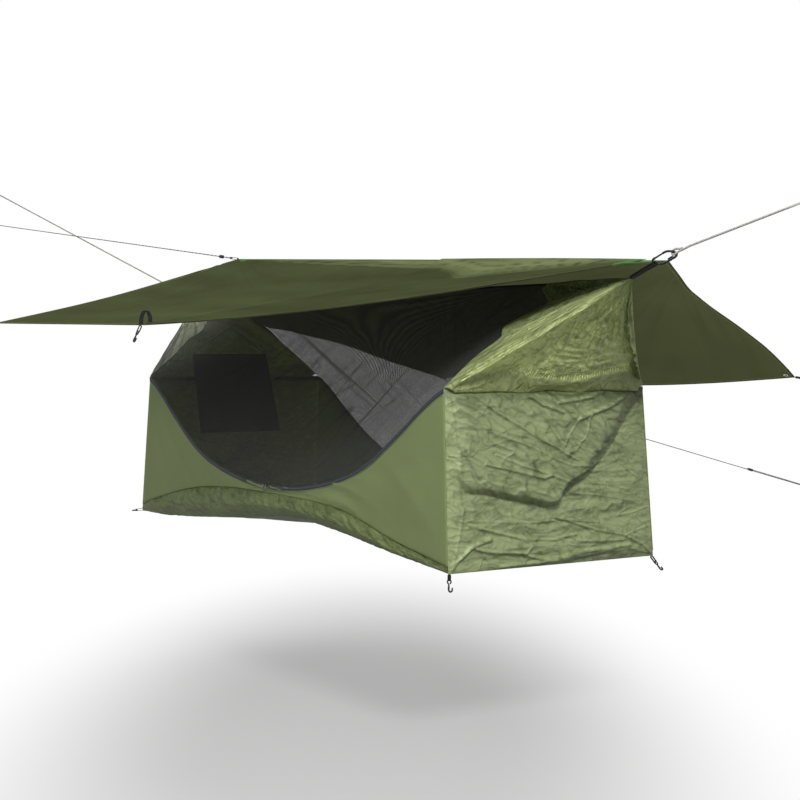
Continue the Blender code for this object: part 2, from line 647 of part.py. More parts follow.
def suspension():
    """At each end: webbing loop on the hood's apex, carabiner with sprung gate, rope eye, rope."""
    ropes = {
        "head": (APEX_HEAD, HANG, Vector((1.955, -HARDWARE_SIDE, 0.984))),
        "foot": (APEX_FOOT, FOOT_HANG, Vector((-3.730, 0, 1.457))),
    }
    for end, (apex, hang, far) in ropes.items():
        pull = (hang - apex).normalized()
        w = (AWAY * 0.93 - UP * 0.36).normalized()
        w = (w - pull * w.dot(pull)).normalized()
        normal = pull.cross(w).normalized()
        rod = CARABINER_ROD

        low = hang - pull * (CARABINER_INSIDE + rod)
        tip = (apex - ALONG * apex.x).lerp(apex, 1 - HOOD_TIP_SHARE * (1 - TOP_LENGTH / 2 / APEX_REACH))
        strap_start = tip + pull * (STRAP_THICK / 2 + TAB_HALF + GAP * 3)
        loop = []
        bend = low + pull * GAP * 1.4
        for centre, half, turn in ((bend, rod + 1.6 * EYE_ROOM, 1), (strap_start, TAB_HALF, -1)):
            for step in range(7):
                angle = math.pi * (step / 6 - 0.5)
                loop.append(centre + (pull * math.cos(angle) + normal * math.sin(angle)) * half * turn)
        band(f"{end}_strap", [loop], w * STRAP_WIDTH, STRAP_THICK, WEBBING)

        top = hang + pull * rod
        span = CARABINER_INSIDE + 2 * rod
        wide = CARABINER_HALF + rod

        def at(along, side, top=top, pull=pull, w=w):
            return top - pull * along - w * side
        path = [at(span * GATE_START_SHARE, wide)]
        for centre, start in ((wide, 0), (span - wide, math.pi)):
            for step in range(7):
                angle = start + math.pi * step / 6
                path.append(at(centre - wide * math.sin(angle), wide * math.cos(angle)))
        path.append(at(span * GATE_END_SHARE, wide))
        tube(f"{end}_carabiner", path, rod, BLACK_METAL)

        pivot = at(span * GATE_END_SHARE - GATE_ROOM, wide)
        neck = GATE_ROOM + GATE_ROD
        gate = [at(span * share + room, wide) for share, room in
                ((GATE_END_SHARE, -GATE_ROOM), (GATE_END_SHARE, -neck), (GATE_START_SHARE, neck),
                 (GATE_START_SHARE, GATE_ROOM))]
        tube(f"{end}_gate", gate, GATE_ROD, BLACK_METAL, pivot, shares=(0.4, 1, 1, 0.4))

        eyed_line(f"{end}_rope", top, rod + EYE_ROOM, rod + GAP, 0.76, far, normal, ROPE_RADIUS,
                  GREY_CORD)


def fly_point(u, v):
    """Upper face of the rain fly: u from the foot to the head, v from the near edge to the far."""
    ridge = FLY_FOOT.lerp(FLY_HEAD, u)
    if v < 0.5:
        out = 1 - 2 * v
        if u <= 0.5:
            edge = FLY_NEAR_FOOT.lerp(FLY_NEAR_MID, 2 * u)
        else:
            edge = FLY_NEAR_MID.lerp(FLY_FOLD_END, 2 * u - 1)
            ridge = (FLY_FOOT.lerp(FLY_HEAD, 0.5)).lerp(FLY_HEAD, 2 * u - 1)
        point = ridge.lerp(edge, out)
        slack = math.sin(math.pi * out) * max(0.0, 1 - 2 * u)
        point.z -= FLY_NEAR_SAG * slack
        return point
    out = 2 * v - 1
    point = ridge.lerp(FLY_FAR_FOOT.lerp(FLY_FAR_HEAD, u), out)
    point.z -= FLY_FAR_SAG * math.sin(math.pi * u ** 1.3) * out ** 2
    near_head = max(0.0, 1 - (1 - u) / 0.3)
    point.z += FLY_HEAD_EDGE_WAVE * spline(FLY_HEAD_EDGE_SHARES, out) * near_head
    near_foot = max(0.0, 1 - u / FLY_FOOT_REACH_SHARE) ** 2
    point.z -= FLY_FOOT_DROP * spline(FLY_FOOT_DROP_SHARES, out) * near_foot
    point.x -= FLY_FOOT_PULL * spline(FLY_FOOT_PULL_SHARES, out) * near_foot
    return point


def rain_fly():
    """The fly: one sheet over its ridge, with the near head corner's part made as a flap."""
    near_rows, far_shares = 5, (0, 0.05, 0.1, 0.25, 0.42, 0.6, 0.8, 1)
    rows = near_rows + len(far_shares) - 1

    def place(u, v):
        row = round(v * rows)
        if row <= near_rows:
            return fly_point(u, row / near_rows / 2)
        return fly_point(u, 0.5 + far_shares[row - near_rows] / 2)
    cloth("rain_fly", place, 20, rows, UP, FLY_GREEN, FLY_CLOTH)


def flap_frame():
    """The fold line's ends, raised clear of the fly, as the hinge of the folded-back flap."""
    across = (FLY_FOLD_END - FLY_NEAR_MID).normalized()
    middle = FLY_FOOT.lerp(FLY_HEAD, 0.5)
    normal = across.cross(middle - FLY_NEAR_MID).normalized()
    lift = normal * (FLAP_LIFT + FLY_CLOTH / 2)
    return FLY_NEAR_MID + lift, FLY_FOLD_END + lift, normal


def fly_flap():
    """The near head corner of the fly, folded back over the top along the fold line."""
    start, end, normal = flap_frame()
    corner_y = FLAP_CORNER.y
    rows = 11

    def place(u, v):
        row = round(v * rows)
        if row <= 8:
            y = start.y + (0 - start.y) * (0.02 + 0.98 * row / 8)
            share = (y - start.y) / (end.y - start.y)
            hinge = start.lerp(end, min(share, 1))
            if share > 1:
                hinge = end.lerp(FLY_HEAD, (share - 1) * 0.5)
        else:
            out = (row - 8) / 3
            y = corner_y * out * 0.9
            hinge = end.lerp(FLAP_CORNER, out * 0.96)
        left = start.lerp(FLAP_CORNER, (y - start.y) / (corner_y - start.y))
        right_x = hinge.x - GAP * 2
        x = left.x + (right_x - left.x) * u
        if right_x - left.x < FLAP_TIP_WIDTH:
            x = right_x - FLAP_TIP_WIDTH * (1 - u)
        ridge = FLY_FOOT.lerp(FLY_HEAD, (x - FLY_FOOT.x) / (FLY_HEAD.x - FLY_FOOT.x))
        over = max(0.0, 1 + y / FLAP_BILLOW_REACH)
        billow = FLAP_BILLOW * min(over, 1) ** 2 * (1 - u ** 3)
        if row < 8:
            z = plane_height(x, y)
        else:
            z = ridge.z - FLAP_FAR_SLOPE_SHARE * y
            y += ridge.y
        return Vector((x, y, z + FLAP_LIFT + FLY_CLOTH + billow))

    def plane_height(x, y):
        point = FLY_NEAR_MID
        return point.z - (normal.x * (x - point.x) + normal.y * (y - point.y)) / normal.z
    cloth("fly_flap", place, 8, rows, UP, FLY_GREEN, FLY_CLOTH, start)


def hook(name, eye_at, down, side, finish=BLACK_PLASTIC):
    """A small tarp hook: an eye round its loop, a shank along down and a bend at the end."""
    side = (side - down * side.dot(down)).normalized()
    pivot = eye_at
    eye_at = eye_at + down * HOOK_SEAT
    points = []
    for n in range(8):
        angle = math.radians(28 + 40 * n)
        points.append(eye_at + (down * math.cos(angle) + side * math.sin(angle)) * HOOK_EYE)
    points.append(eye_at + down * (HOOK_EYE + HOOK_ROD) - side * HOOK_ROD * 0.8)
    end = eye_at + down * (HOOK_EYE + HOOK_SHANK) - side * HOOK_ROD
    points.append(end)
    centre = end + side * HOOK_BEND
    for n in range(1, 6):
        angle = math.pi * n / 5
        points.append(centre - side * HOOK_BEND * math.cos(angle) + down * HOOK_BEND * math.sin(angle))
    points.append(points[-1] - down * HOOK_BEND)
    return tube(name, points, HOOK_ROD, finish, pivot, sides=1)


def ring(name, centre, axis, inner, outer, length, finish):
    """A short collar round a line, with its hole open at both ends."""
    turn = axis.to_track_quat("Z", "Y").to_matrix().to_4x4()
    bm = bmesh.new()
    circle = bmesh.ops.create_circle(bm, segments=12, radius=outer)["verts"]
    bmesh.ops.translate(bm, vec=-UP * length / 2, verts=circle)
    swept = bmesh.ops.extrude_edge_only(bm, edges=bm.edges)["geom"]
    bmesh.ops.translate(bm, vec=UP * length, verts=[g for g in swept if isinstance(g, bmesh.types.BMVert)])
    bmesh.ops.recalc_face_normals(bm, faces=bm.faces)
    bmesh.ops.transform(bm, matrix=Matrix.Translation(centre) @ turn, verts=bm.verts)
    obj = add(name, mesh_from(bm, name, False), finish, centre)
    wall = obj.modifiers.new("thickness", "SOLIDIFY")
    wall.thickness = outer - inner
    wall.offset = -1
    return obj


def tab(name, root, way, across, length=TAB_LENGTH):
    """A loop of webbing that starts clear of root and reaches along way; returns its far strand."""
    way = way.normalized()
    across = (across - way * across.dot(way)).normalized()
    start = root + way * (TAB_HALF + TAB_THICK * 0.55 + GAP)
    end = start + way * (length - TAB_HALF)
    places = stadium(start, end, TAB_HALF, way.cross(across))
    band(name, [places], across * TAB_WIDTH, TAB_THICK, WEBBING)
    return end + way * TAB_HALF


def corner_fittings():
    """A webbing loop and a hook at each floor corner."""
    clear = TAB_HALF + TAB_THICK * 0.55 + GAP
    out = half_width(0) - CLOTH - 3 * GAP - TAB_WIDTH / 2
    under = half_length(0) - CLOTH / 2
    behind = -half_length(clear) - clear
    for label, start, way, across, length in (
            ("near_head", Vector((under, -out, -clear)), Vector((0.12, -0.1, -1)), AWAY, CORNER_LOOP),
            ("far_head", Vector((under, out, -clear)), Vector((0.2, 0.6, -0.8)), ALONG, CORNER_LOOP * 1.5),
            ("near_foot", Vector((behind, -out, clear)), Vector((-1, -0.1, -0.14)), AWAY, FOOT_CORNER_LOOP),
            ("far_foot", Vector((behind, out, clear)), Vector((-1, 0.1, -0.14)), AWAY, FOOT_CORNER_LOOP)):
        way = way.normalized()
        last = tab(f"{label}_corner_loop", start - way * clear, way, across, length)
        hook(f"{label}_corner_hook", last, way, across)


def fly_fittings():
    """Tabs, hooks and lines at the ridge ends, corners and tie-out of the fly."""
    pull = (HANG - APEX_HEAD).normalized()
    across = (AWAY * 0.93 - UP * 0.36).normalized()
    across = (across - pull * across.dot(pull)).normalized()
    normal = pull.cross(across)

    last = tab("fly_head_tab", FLY_HEAD, pull, across, TAB_LENGTH / 2)
    centre = HANG + pull * (CARABINER_ROD - 0.26 * CARABINER_HALF) + across * HEAD_HOOK_SIDE
    middle = last + pull * HOOK_SEAT
    eye = []
    for n in range(8):
        angle = math.radians(28 + 40 * n)
        eye.append(middle + (pull * math.cos(angle) - across * math.sin(angle)) * HOOK_EYE)
    eye.append(middle + pull * (HOOK_EYE + HOOK_ROD) + across * HOOK_ROD * 0.8)
    for angle in range(90, -91, -36):
        turn = math.radians(angle)
        eye.append(centre + (pull * math.cos(turn) + normal * math.sin(turn)) * HOOK_BEND)
    eye.append(eye[-1] - pull * HOOK_BEND)
    tube("fly_head_hook", eye, HOOK_ROD, BLACK_METAL, last, sides=1)

    away = (LINE_END - FLY_FOOT).normalized()
    last = tab("fly_foot_tab", FLY_FOOT, away, AWAY, FOOT_TAB)
    lock = FLY_FOOT + away * LINE_LOCK_AT
    eyed_line("fly_ridge_line", last, TAB_WIDTH / 2 + 2 * GAP, TAB_THICK / 2 + GAP, 0.9, LINE_END, AWAY,
              FLY_LINE_RADIUS, FLECK_CORD, (lock - last).length + LOCK_LENGTH / 2)
    hole = 2 * FLY_LINE_RADIUS + GAP + LOCK_ROOM
    ring("ridge_line_slider", lock, away, hole, LOCK_RADIUS + LOCK_ROOM * 2, LOCK_LENGTH, BLACK_PLASTIC)

    out = Vector((0, -0.45, -0.89)).normalized()
    last = tab("mid_tieout_tab", FLY_NEAR_MID - UP * FLY_CLOTH, out, ALONG, TAB_LENGTH * 0.7)
    hook("mid_tieout_hook", last, out, ALONG)

    tab("near_foot_tab", FLY_NEAR_FOOT, FLY_NEAR_FOOT - FLY_NEAR_MID + Vector((0, -0.6, -0.3)), UP)
    last = tab("far_head_tab", FLY_FAR_HEAD, SHORT_GUY_END - FLY_FAR_HEAD, UP)
    eyed_line("far_head_guy", last, TAB_WIDTH / 2 + 2 * GAP, TAB_THICK / 2 + GAP, 0.9, SHORT_GUY_END, UP,
              LINE_RADIUS, GREY_CORD)

    away = (GUY_END - FLY_FAR_FOOT).normalized()
    far_foot_guy(tab("far_foot_tab", FLY_FAR_FOOT, away, UP), away)


def far_foot_guy(start, away):
    """The guy at the far foot corner, doubled back past its tensioner to the stake loop."""
    side = (UP - away * UP.dot(away)).normalized()
    beside = LINE_RADIUS + GAP
    length = (GUY_END - start).length
    lock = length * GUY_LOCK_SHARE

    def at(along, out):
        return start + away * along + side * out
    eye_side = TAB_WIDTH / 2 + 2 * GAP + LINE_RADIUS
    head = eye_route(start, away, side, eye_side, TAB_THICK / 2 + GAP + LINE_RADIUS, 0.9, EYE_NECK, beside)
    stake = TAB_HALF * 2
    tail = smooth_line([at(lock, -beside), at(length - stake * 5, -beside),
                        at(length - stake * 2, -stake * 0.7), at(length - stake, -stake), at(length, 0),
                        at(length - stake, stake), at(length - stake * 2, stake * 0.7),
                        at(length - stake * 5, beside)], 30)
    tail.append(at(lock - LOCK_LENGTH, beside))
    tube("far_foot_guy", head + tail, LINE_RADIUS, GREY_CORD)
    ring("guy_tensioner", at(lock, 0), away, 2 * LINE_RADIUS + GAP + LOCK_ROOM, LOCK_RADIUS, LOCK_LENGTH,
         BLACK_PLASTIC)


def foot_pocket():
    """The pocket that hangs inside the foot end, against the bar's hem, and its cord."""
    roll = BAR_RADIUS + BAR_ROOM + CLOTH
    reach = half_length(WALL_HEIGHT - roll) - 2 * roll - POCKET_THICK - GAP

    def place(u, v):
        half = POCKET_HALF_BOTTOM + (POCKET_HALF_TOP - POCKET_HALF_BOTTOM) * v
        middle = POCKET_MID_BOTTOM + (POCKET_MID_TOP - POCKET_MID_BOTTOM) * v
        bow = POCKET_THICK * 2 * math.sin(math.pi * u) * (1 - v)
        z = POCKET_BOTTOM + (POCKET_TOP - POCKET_BOTTOM) * v
        return Vector((-reach + bow, middle + half * (2 * u - 1), z))
    cloth("foot_pocket", place, 10, 5, ALONG, BLACK_NET, POCKET_THICK)
    hem = POCKET_TOP + POCKET_CORD_RADIUS + GAP
    half = POCKET_HALF_TOP - POCKET_THICK
    x = -reach - POCKET_THICK / 2
    route = [Vector((x, POCKET_MID_TOP + half * y, hem + POCKET_CORD_PEAK * (1 - abs(y) ** 1.1)))
             for y in (-1, -0.5, -0.12, 0, 0.12, 0.5, 1)]
    tube("pocket_cord", smooth_line(route, 25), POCKET_CORD_RADIUS, GREY_CORD)


side_walls()
zips()
pad_sleeve()
sleeping_pad()
end_walls()
spreader_bars()
hoods()
net_doors()
suspension()
rain_fly()
fly_flap()
corner_fittings()
fly_fittings()
foot_pocket()
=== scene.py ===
"""Looks of a lay-flat hammock tent with its rain fly, slung between two ropes.

Metres, +Z up, +X at the head end, -Y the near side. Places are given from the middle of the
tent's floor and moved by HANG, since the frame's origin is the head rope's hang point.
"""

import functools
import math

import bmesh
import bpy
from mathutils import Matrix, Vector, noise


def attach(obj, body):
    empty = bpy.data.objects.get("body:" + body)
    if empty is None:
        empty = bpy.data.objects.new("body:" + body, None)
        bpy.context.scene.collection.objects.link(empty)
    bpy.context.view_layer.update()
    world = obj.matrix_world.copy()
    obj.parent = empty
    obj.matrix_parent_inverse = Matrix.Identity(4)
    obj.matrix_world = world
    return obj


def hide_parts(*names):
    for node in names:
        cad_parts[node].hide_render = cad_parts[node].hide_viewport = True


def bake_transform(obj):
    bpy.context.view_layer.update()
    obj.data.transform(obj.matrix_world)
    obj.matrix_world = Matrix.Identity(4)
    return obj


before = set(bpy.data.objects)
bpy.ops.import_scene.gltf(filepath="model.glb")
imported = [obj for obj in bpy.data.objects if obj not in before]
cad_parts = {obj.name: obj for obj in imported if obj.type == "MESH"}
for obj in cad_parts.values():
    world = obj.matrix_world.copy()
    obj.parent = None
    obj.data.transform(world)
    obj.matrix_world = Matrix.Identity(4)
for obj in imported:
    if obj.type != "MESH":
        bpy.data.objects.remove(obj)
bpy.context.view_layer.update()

# Camera: it stands off the near head corner, a little below the fly's edge, and looks
# almost level, through a lens of 70 mm.
HANG = Vector((1.485, -0.014, 0.878))
yaw, pitch, roll = 0.97758, -0.031511, 0.005947
forward = Vector((-math.sin(yaw) * math.cos(pitch), math.cos(yaw) * math.cos(pitch), math.sin(pitch)))
level = Vector((math.cos(yaw), math.sin(yaw), 0))
plumb = level.cross(forward)
right = level * math.cos(roll) + plumb * math.sin(roll)
upright = plumb * math.cos(roll) - level * math.sin(roll)
camera = bpy.data.objects.new("camera", bpy.data.cameras.new("camera"))
bpy.context.scene.collection.objects.link(camera)
camera.matrix_world = (Matrix.Translation(Vector((4.4816, -2.8943, 0.6163)) - HANG)
                       @ Matrix((right, upright, -forward)).transposed().to_4x4())
camera.data.lens = 70.21
camera.data.sensor_width = 36
camera.data.clip_start = 0.05
camera.data.clip_end = 60
bpy.context.scene.camera = camera
bpy.context.scene.view_settings.view_transform = "Standard"


def wire(tree, kind, settings=None, **inputs):
    """A new node with its settings, and each named input set to a value or joined to a socket."""
    made = tree.nodes.new(kind)
    for key, value in (settings or {}).items():
        setattr(made, key, value)
    for name, value in inputs.items():
        socket = made.inputs[int(name[1:])] if name[1:].isdigit() else made.inputs[name.replace("_", " ")]
        if isinstance(value, bpy.types.NodeSocket):
            tree.links.new(value, socket)
        else:
            socket.default_value = value
    return made


def maths(tree, sort, *values):
    """The result of a maths node on sockets or plain numbers."""
    return wire(tree, "ShaderNodeMath", {"operation": sort},
                **{f"_{n}": value for n, value in enumerate(values)}).outputs[0]


def seen_directly(tree):
    """1 where the camera sees the surface, straight, mirrored or through something clear."""
    path = wire(tree, "ShaderNodeLightPath").outputs
    glossy = maths(tree, "MAXIMUM", path["Is Camera Ray"], path["Is Glossy Ray"])
    return maths(tree, "MAXIMUM", glossy, path["Is Transmission Ray"])


# Studio: a white sky and a pale floor half a metre under the tent, which takes its soft
# shadow and runs out into white all round. Round the tent it shows as a grey pool of painted
# shadow, an oval that lies along the view, which the real shadow darkens further.
world = bpy.data.worlds.new("studio")
bpy.context.scene.world = world
world.use_nodes = True
sky = world.node_tree
ambient = sky.nodes["Background"]
ambient.inputs["Color"].default_value = (1, 1, 1, 1)
ambient.inputs["Strength"].default_value = 0.23
plain = wire(sky, "ShaderNodeBackground", Color=(1, 1, 1, 1), Strength=1.0)
both = wire(sky, "ShaderNodeMixShader", _0=seen_directly(sky), _1=ambient.outputs[0], _2=plain.outputs[0])
sky.links.new(both.outputs[0], sky.nodes["World Output"].inputs["Surface"])

FLOOR_DROP = 0.53
bm = bmesh.new()
bmesh.ops.create_circle(bm, cap_ends=True, segments=64, radius=14)
bmesh.ops.translate(bm, vec=Vector((0, 0, -FLOOR_DROP)) - HANG, verts=bm.verts)
floor_mesh = bpy.data.meshes.new("studio_floor")
bm.to_mesh(floor_mesh)
bm.free()
floor = bpy.data.objects.new("studio_floor", floor_mesh)
bpy.context.scene.collection.objects.link(floor)
floor_look = bpy.data.materials.new("studio_floor")
floor_look.use_nodes = True
tree = floor_look.node_tree
paint = tree.nodes["Principled BSDF"]
paint.inputs["Base Color"].default_value = (0.36, 0.36, 0.36, 1)
paint.inputs["Roughness"].default_value = 0.9
paint.inputs["Specular IOR Level"].default_value = 0.0
# Painted shadow: an oval, longest along the view, where the grey floor shows through the white.
place = wire(tree, "ShaderNodeTexCoord").outputs["Object"]
centre = Vector((0.521, -0.363, 0)) - HANG
spans = []
for way, span in ((Vector((-math.sin(yaw), math.cos(yaw), 0)), 4.2), (level, 1.50)):
    along = wire(tree, "ShaderNodeVectorMath", {"operation": "DOT_PRODUCT"}, _0=place,
                 _1=way).outputs["Value"]
    spans.append(maths(tree, "MULTIPLY_ADD", along, 1 / span, -centre.dot(way) / span))
flat = wire(tree, "ShaderNodeCombineXYZ", X=spans[0], Y=spans[1]).outputs[0]
away = wire(tree, "ShaderNodeVectorMath", {"operation": "LENGTH"}, _0=flat).outputs["Value"]
edge = wire(tree, "ShaderNodeMapRange", {"interpolation_type": "SMOOTHSTEP"}, Value=away, From_Min=0.25,
            From_Max=0.90, To_Min=0.385, To_Max=1.0).outputs[0]
edge = maths(tree, "MULTIPLY", edge, seen_directly(tree))
glow = wire(tree, "ShaderNodeEmission", Color=(1, 1, 1, 1), Strength=1.0)
both = wire(tree, "ShaderNodeMixShader", _0=edge, _1=paint.outputs[0], _2=glow.outputs[0])
tree.links.new(both.outputs[0], tree.nodes["Material Output"].inputs["Surface"])
floor.data.materials.append(floor_look)

for name, where, size, power in (
        ("front_softbox", (3.9, -1.6, 2.9), 1.1, 165),
        ("near_softbox", (-0.4, -4.8, 2.3), 1.7, 70),
        ("back_softbox", (-1.8, 1.1, 4.3), 4.4, 130)):
    lamp = bpy.data.lights.new(name, "AREA")
    lamp.shape = "DISK"
    lamp.size = size
    lamp.energy = power
    stand = bpy.data.objects.new(name, lamp)
    bpy.context.scene.collection.objects.link(stand)
    stand.location = Vector(where) - HANG
    stand.rotation_euler = (Vector((0, 0, 0.4)) - Vector(where)).to_track_quat("-Z", "Y").to_euler()


# Suspension ropes: thin braided polyester from the trees outside the picture, each with a
# sewn eye that bears in its carabiner. The ends outside the picture stop in a knot.
def through(table, share):
    """The value at share on a smooth curve through the table's points."""
    share = min(max(share, table[0][0]), table[-1][0])
    i = max(n for n in range(len(table) - 1) if table[n][0] <= share)
    (x0, y0), (x1, y1) = table[i], table[i + 1]

    def slope(n):
        a, b = table[max(n - 1, 0)], table[min(n + 1, len(table) - 1)]
        return (b[1] - a[1]) / (b[0] - a[0])
    run = x1 - x0
    t = (share - x0) / run
    return (((2 * t - 3) * t * t + 1) * y0 + ((t - 2) * t + 1) * t * slope(i) * run
            + (3 - 2 * t) * t * t * y1 + (t - 1) * t * t * slope(i + 1) * run)


def smooth_route(points, count):
    """Count places along a smooth curve through a few points."""
    marks = [0.0]
    for a, b in zip(points, points[1:]):
        marks.append(marks[-1] + (b - a).length)
    tables = [[(mark / marks[-1], point[axis]) for mark, point in zip(marks, points)] for axis in range(3)]
    return [Vector([through(table, n / (count - 1)) for table in tables]) for n in range(count)]


def eye_route(centre, way, normal, side, back, corner, neck, beside):
    """From a cord's tail, round the eye at its end, and back beside the tail."""
    end = min(side * 4, neck * 0.7)
    half = ((end, beside), (side * 1.7, side * 0.8), (side * 0.25, side), (-back * corner, side * corner))
    shares = half + ((-back, 0),) + tuple((along, -out) for along, out in half[::-1])
    eye = smooth_route([centre + way * along + normal * out for along, out in shares], 45)
    return [centre + way * neck + normal * beside] + eye + [centre + way * neck - normal * beside]


def swept_rod(name, route, radius, finish, sides=12, shares=None, body="tent", node=None, closed=False):
    """A round rod or cord along the route. Its UV map is metres along and turns round."""
    bm = bmesh.new()
    uv = bm.loops.layers.uv.verify()
    last = len(route) if closed else len(route) - 1
    bmesh.ops.create_grid(bm, x_segments=last, y_segments=sides, size=0.5, calc_uvs=True)
    marks, rings = [0.0], []
    normal = Vector((0.12, 0.35, 0.93))
    for n in range(last + 1):
        point = route[n % len(route)]
        ahead = route[(n + 1) % len(route)] if closed else route[min(n + 1, last)]
        behind = route[(n - 1) % len(route)] if closed else route[max(n - 1, 0)]
        along = (ahead - behind).normalized()
        normal = (normal - along * normal.dot(along)).normalized()
        rings.append((point, normal.copy(), along.cross(normal)))
        if n:
            marks.append(marks[-1] + (point - route[n - 1]).length)
    for vert in bm.verts:
        n = round((vert.co.x + 0.5) * last)
        turn = 2 * math.pi * (vert.co.y + 0.5)
        point, across, up = rings[n]
        reach = radius * (shares[n] if shares else 1)
        vert.co = point + (across * math.cos(turn) + up * math.sin(turn)) * reach - HANG
    for face in bm.faces:
        for loop in face.loops:
            loop[uv].uv.x = marks[round(loop[uv].uv.x * last)]
    bmesh.ops.remove_doubles(bm, verts=bm.verts, dist=0.00002)
    ends = [e for e in bm.edges if e.is_boundary]
    if ends:
        bmesh.ops.holes_fill(bm, edges=ends, sides=0)
    bmesh.ops.recalc_face_normals(bm, faces=bm.faces)
    return hand_in(name, bm, finish, body, node)


def hand_in(name, bm, finish, body="tent", node=None):
    """Make the mesh a piece of the tent that rides on a body and stands for a CAD node."""
    mesh = bpy.data.meshes.new(name)
    bm.to_mesh(mesh)
    bm.free()
    mesh.shade_smooth()
    mesh.materials.append(finish)
    piece = bpy.data.objects.new(name, mesh)
    bpy.context.scene.collection.objects.link(piece)
    if body:
        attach(piece, body)
    if node:
        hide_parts(node)
    return piece


def new_finish(name, colour, roughness, metallic=0.0):
    """A material and its node tree, with the shader's plain values set."""
    made = bpy.data.materials.new(name)
    made.use_nodes = True
    shader = made.node_tree.nodes["Principled BSDF"]
    shader.inputs["Base Color"].default_value = (*colour, 1)
    shader.inputs["Roughness"].default_value = roughness
    shader.inputs["Metallic"].default_value = metallic
    return made, made.node_tree, shader


def bump(tree, shader, height, strength, distance):
    """Join a height to the shader's normal."""
    made = wire(tree, "ShaderNodeBump", Strength=strength, Distance=distance, Height=height)
    tree.links.new(made.outputs[0], shader.inputs["Normal"])


def new_group(name, takes, gives):
    """A node group with named sockets; returns it, what it takes and where it puts its results."""
    group = bpy.data.node_groups.new(name, "ShaderNodeTree")
    for labels, way in ((takes, "INPUT"), (gives, "OUTPUT")):
        for label in labels:
            kind = "NodeSocketVector" if label == "Vector" else "NodeSocketFloat"
            group.interface.new_socket(label, in_out=way, socket_type=kind)
    return group, group.nodes.new("NodeGroupInput").outputs, group.nodes.new("NodeGroupOutput").inputs


def ranged(tree, value, low, high, at_low=0.0, at_high=1.0):
    """A value carried from one range to another, and held at both ends."""
    return wire(tree, "ShaderNodeMapRange", Value=value, From_Min=low, From_Max=high, To_Min=at_low,
                To_Max=at_high).outputs[0]


def mixed(tree, share, first, second, kind="MIX"):
    """Two colours, or sockets of colour, mixed by a share."""
    first, second = (c if isinstance(c, bpy.types.NodeSocket) else (*c, 1) for c in (first, second))
    return wire(tree, "ShaderNodeMix", {"data_type": "RGBA", "blend_type": kind}, _0=share, _6=first,
                _7=second).outputs[2]


def tinted(tree, colour, tint):
    """A colour multiplied by another, or by a value."""
    return mixed(tree, 1.0, colour, tint, "MULTIPLY")


def speckle(tree, place, scale, detail, rough=0.5):
    """Soft random noise, about 0.5 all over."""
    return wire(tree, "ShaderNodeTexNoise", Vector=place, Scale=scale, Detail=detail,
                Roughness=rough).outputs["Fac"]


def rows_of(tree, value, pitch):
    """Even rows over a length, from -1 to 1, a pitch apart."""
    return maths(tree, "SINE", maths(tree, "MULTIPLY", value, 2 * math.pi / pitch))


# The braid of every cord: strands that cross as they wind round it, read from the cord's
# own UV map, with the darker tracer yarns that some cords have.
braid, given, put = new_group("cord_braid", ("Vector", "Pitch", "Tracer"), ("Height", "Tracer Mask"))
split = wire(braid, "ShaderNodeSeparateXYZ", Vector=given["Vector"]).outputs
run = maths(braid, "DIVIDE", split["X"], given["Pitch"])
waves = []
for turns in (4, -4):
    wound = maths(braid, "MULTIPLY_ADD", split["Y"], float(turns), run)
    waves.append(rows_of(braid, wound, 1))
height = maths(braid, "MULTIPLY", waves[0], waves[1])
dash = maths(braid, "FRACT", maths(braid, "DIVIDE", split["X"], given["Tracer"]))
mask = ranged(braid, dash, 0.52, 0.58)
braid.links.new(height, put["Height"])
braid.links.new(mask, put["Tracer Mask"])


def cord_finish(name, light, dark, pitch, tracer):
    """Braided sheath in a light yarn, with dashes of a dark one every tracer metres."""
    made, tree, shader = new_finish(name, light, 0.85)
    uv = wire(tree, "ShaderNodeTexCoord").outputs["UV"]
    woven = wire(tree, "ShaderNodeGroup", {"node_tree": braid}, Vector=uv, Pitch=pitch, Tracer=tracer).outputs
    dust = speckle(tree, uv, 260.0, 2.0)
    soiled = mixed(tree, dust, light, [c * 0.72 for c in light])
    yarn = mixed(tree, woven["Tracer Mask"], soiled, dark)
    # Painted shade: the yarn is darker in the grooves between the braid's strands.
    shade = ranged(tree, woven["Height"], -1.0, 1.0, 0.55)
    full = tinted(tree, yarn, shade)
    tree.links.new(full, shader.inputs["Base Color"])
    bump(tree, shader, woven["Height"], 0.6, 0.0004)
    return made


def end_knot(name, at, way, radius, finish):
    """A stopper knot, three turns of the cord pulled tight round itself."""
    turn = way.to_track_quat("Z", "Y").to_matrix()
    route = []
    for n in range(48):
        t = 2 * math.pi * n / 48
        flat = Vector((math.sin(t) + 2 * math.sin(2 * t), math.cos(t) - 2 * math.cos(2 * t),
                       -1.15 * math.sin(3 * t)))
        route.append(at + turn @ flat * radius * 0.82)
    return swept_rod(name, route, radius * 0.96, finish, sides=10, closed=True)


rope_grey = cord_finish("rope_grey", (0.62, 0.60, 0.56), (0.50, 0.48, 0.45), 0.009, 0.020)
AWAY, UP, ALONG = Vector((0, 1, 0)), Vector((0, 0, 1)), Vector((1, 0, 0))
ROPE_RADIUS, CARABINER_ROD, EYE_ROOM, EYE_NECK, GAP = 0.0030, 0.0032, 0.0012, 0.030, 0.0003
APEX_REACH = 1.312
ENDS, SIDES = (("head", 1), ("foot", -1)), (("near", -1), ("far", 1))
apexes = {end: Vector((sign * APEX_REACH, 0, 0.818)) for end, sign in ENDS}
hangs = {"head": HANG, "foot": Vector((-1.485, 0, 0.863))}
rope_ends = {"head": Vector((1.955, -0.014, 0.984)), "foot": Vector((-3.730, 0, 1.457))}


def hang_axes(end):
    """The way a carabiner is pulled, from its apex to its hang point, and its width's way."""
    pull = (hangs[end] - apexes[end]).normalized()
    across = (AWAY * 0.93 - UP * 0.36).normalized()
    return pull, (across - pull * across.dot(pull)).normalized()


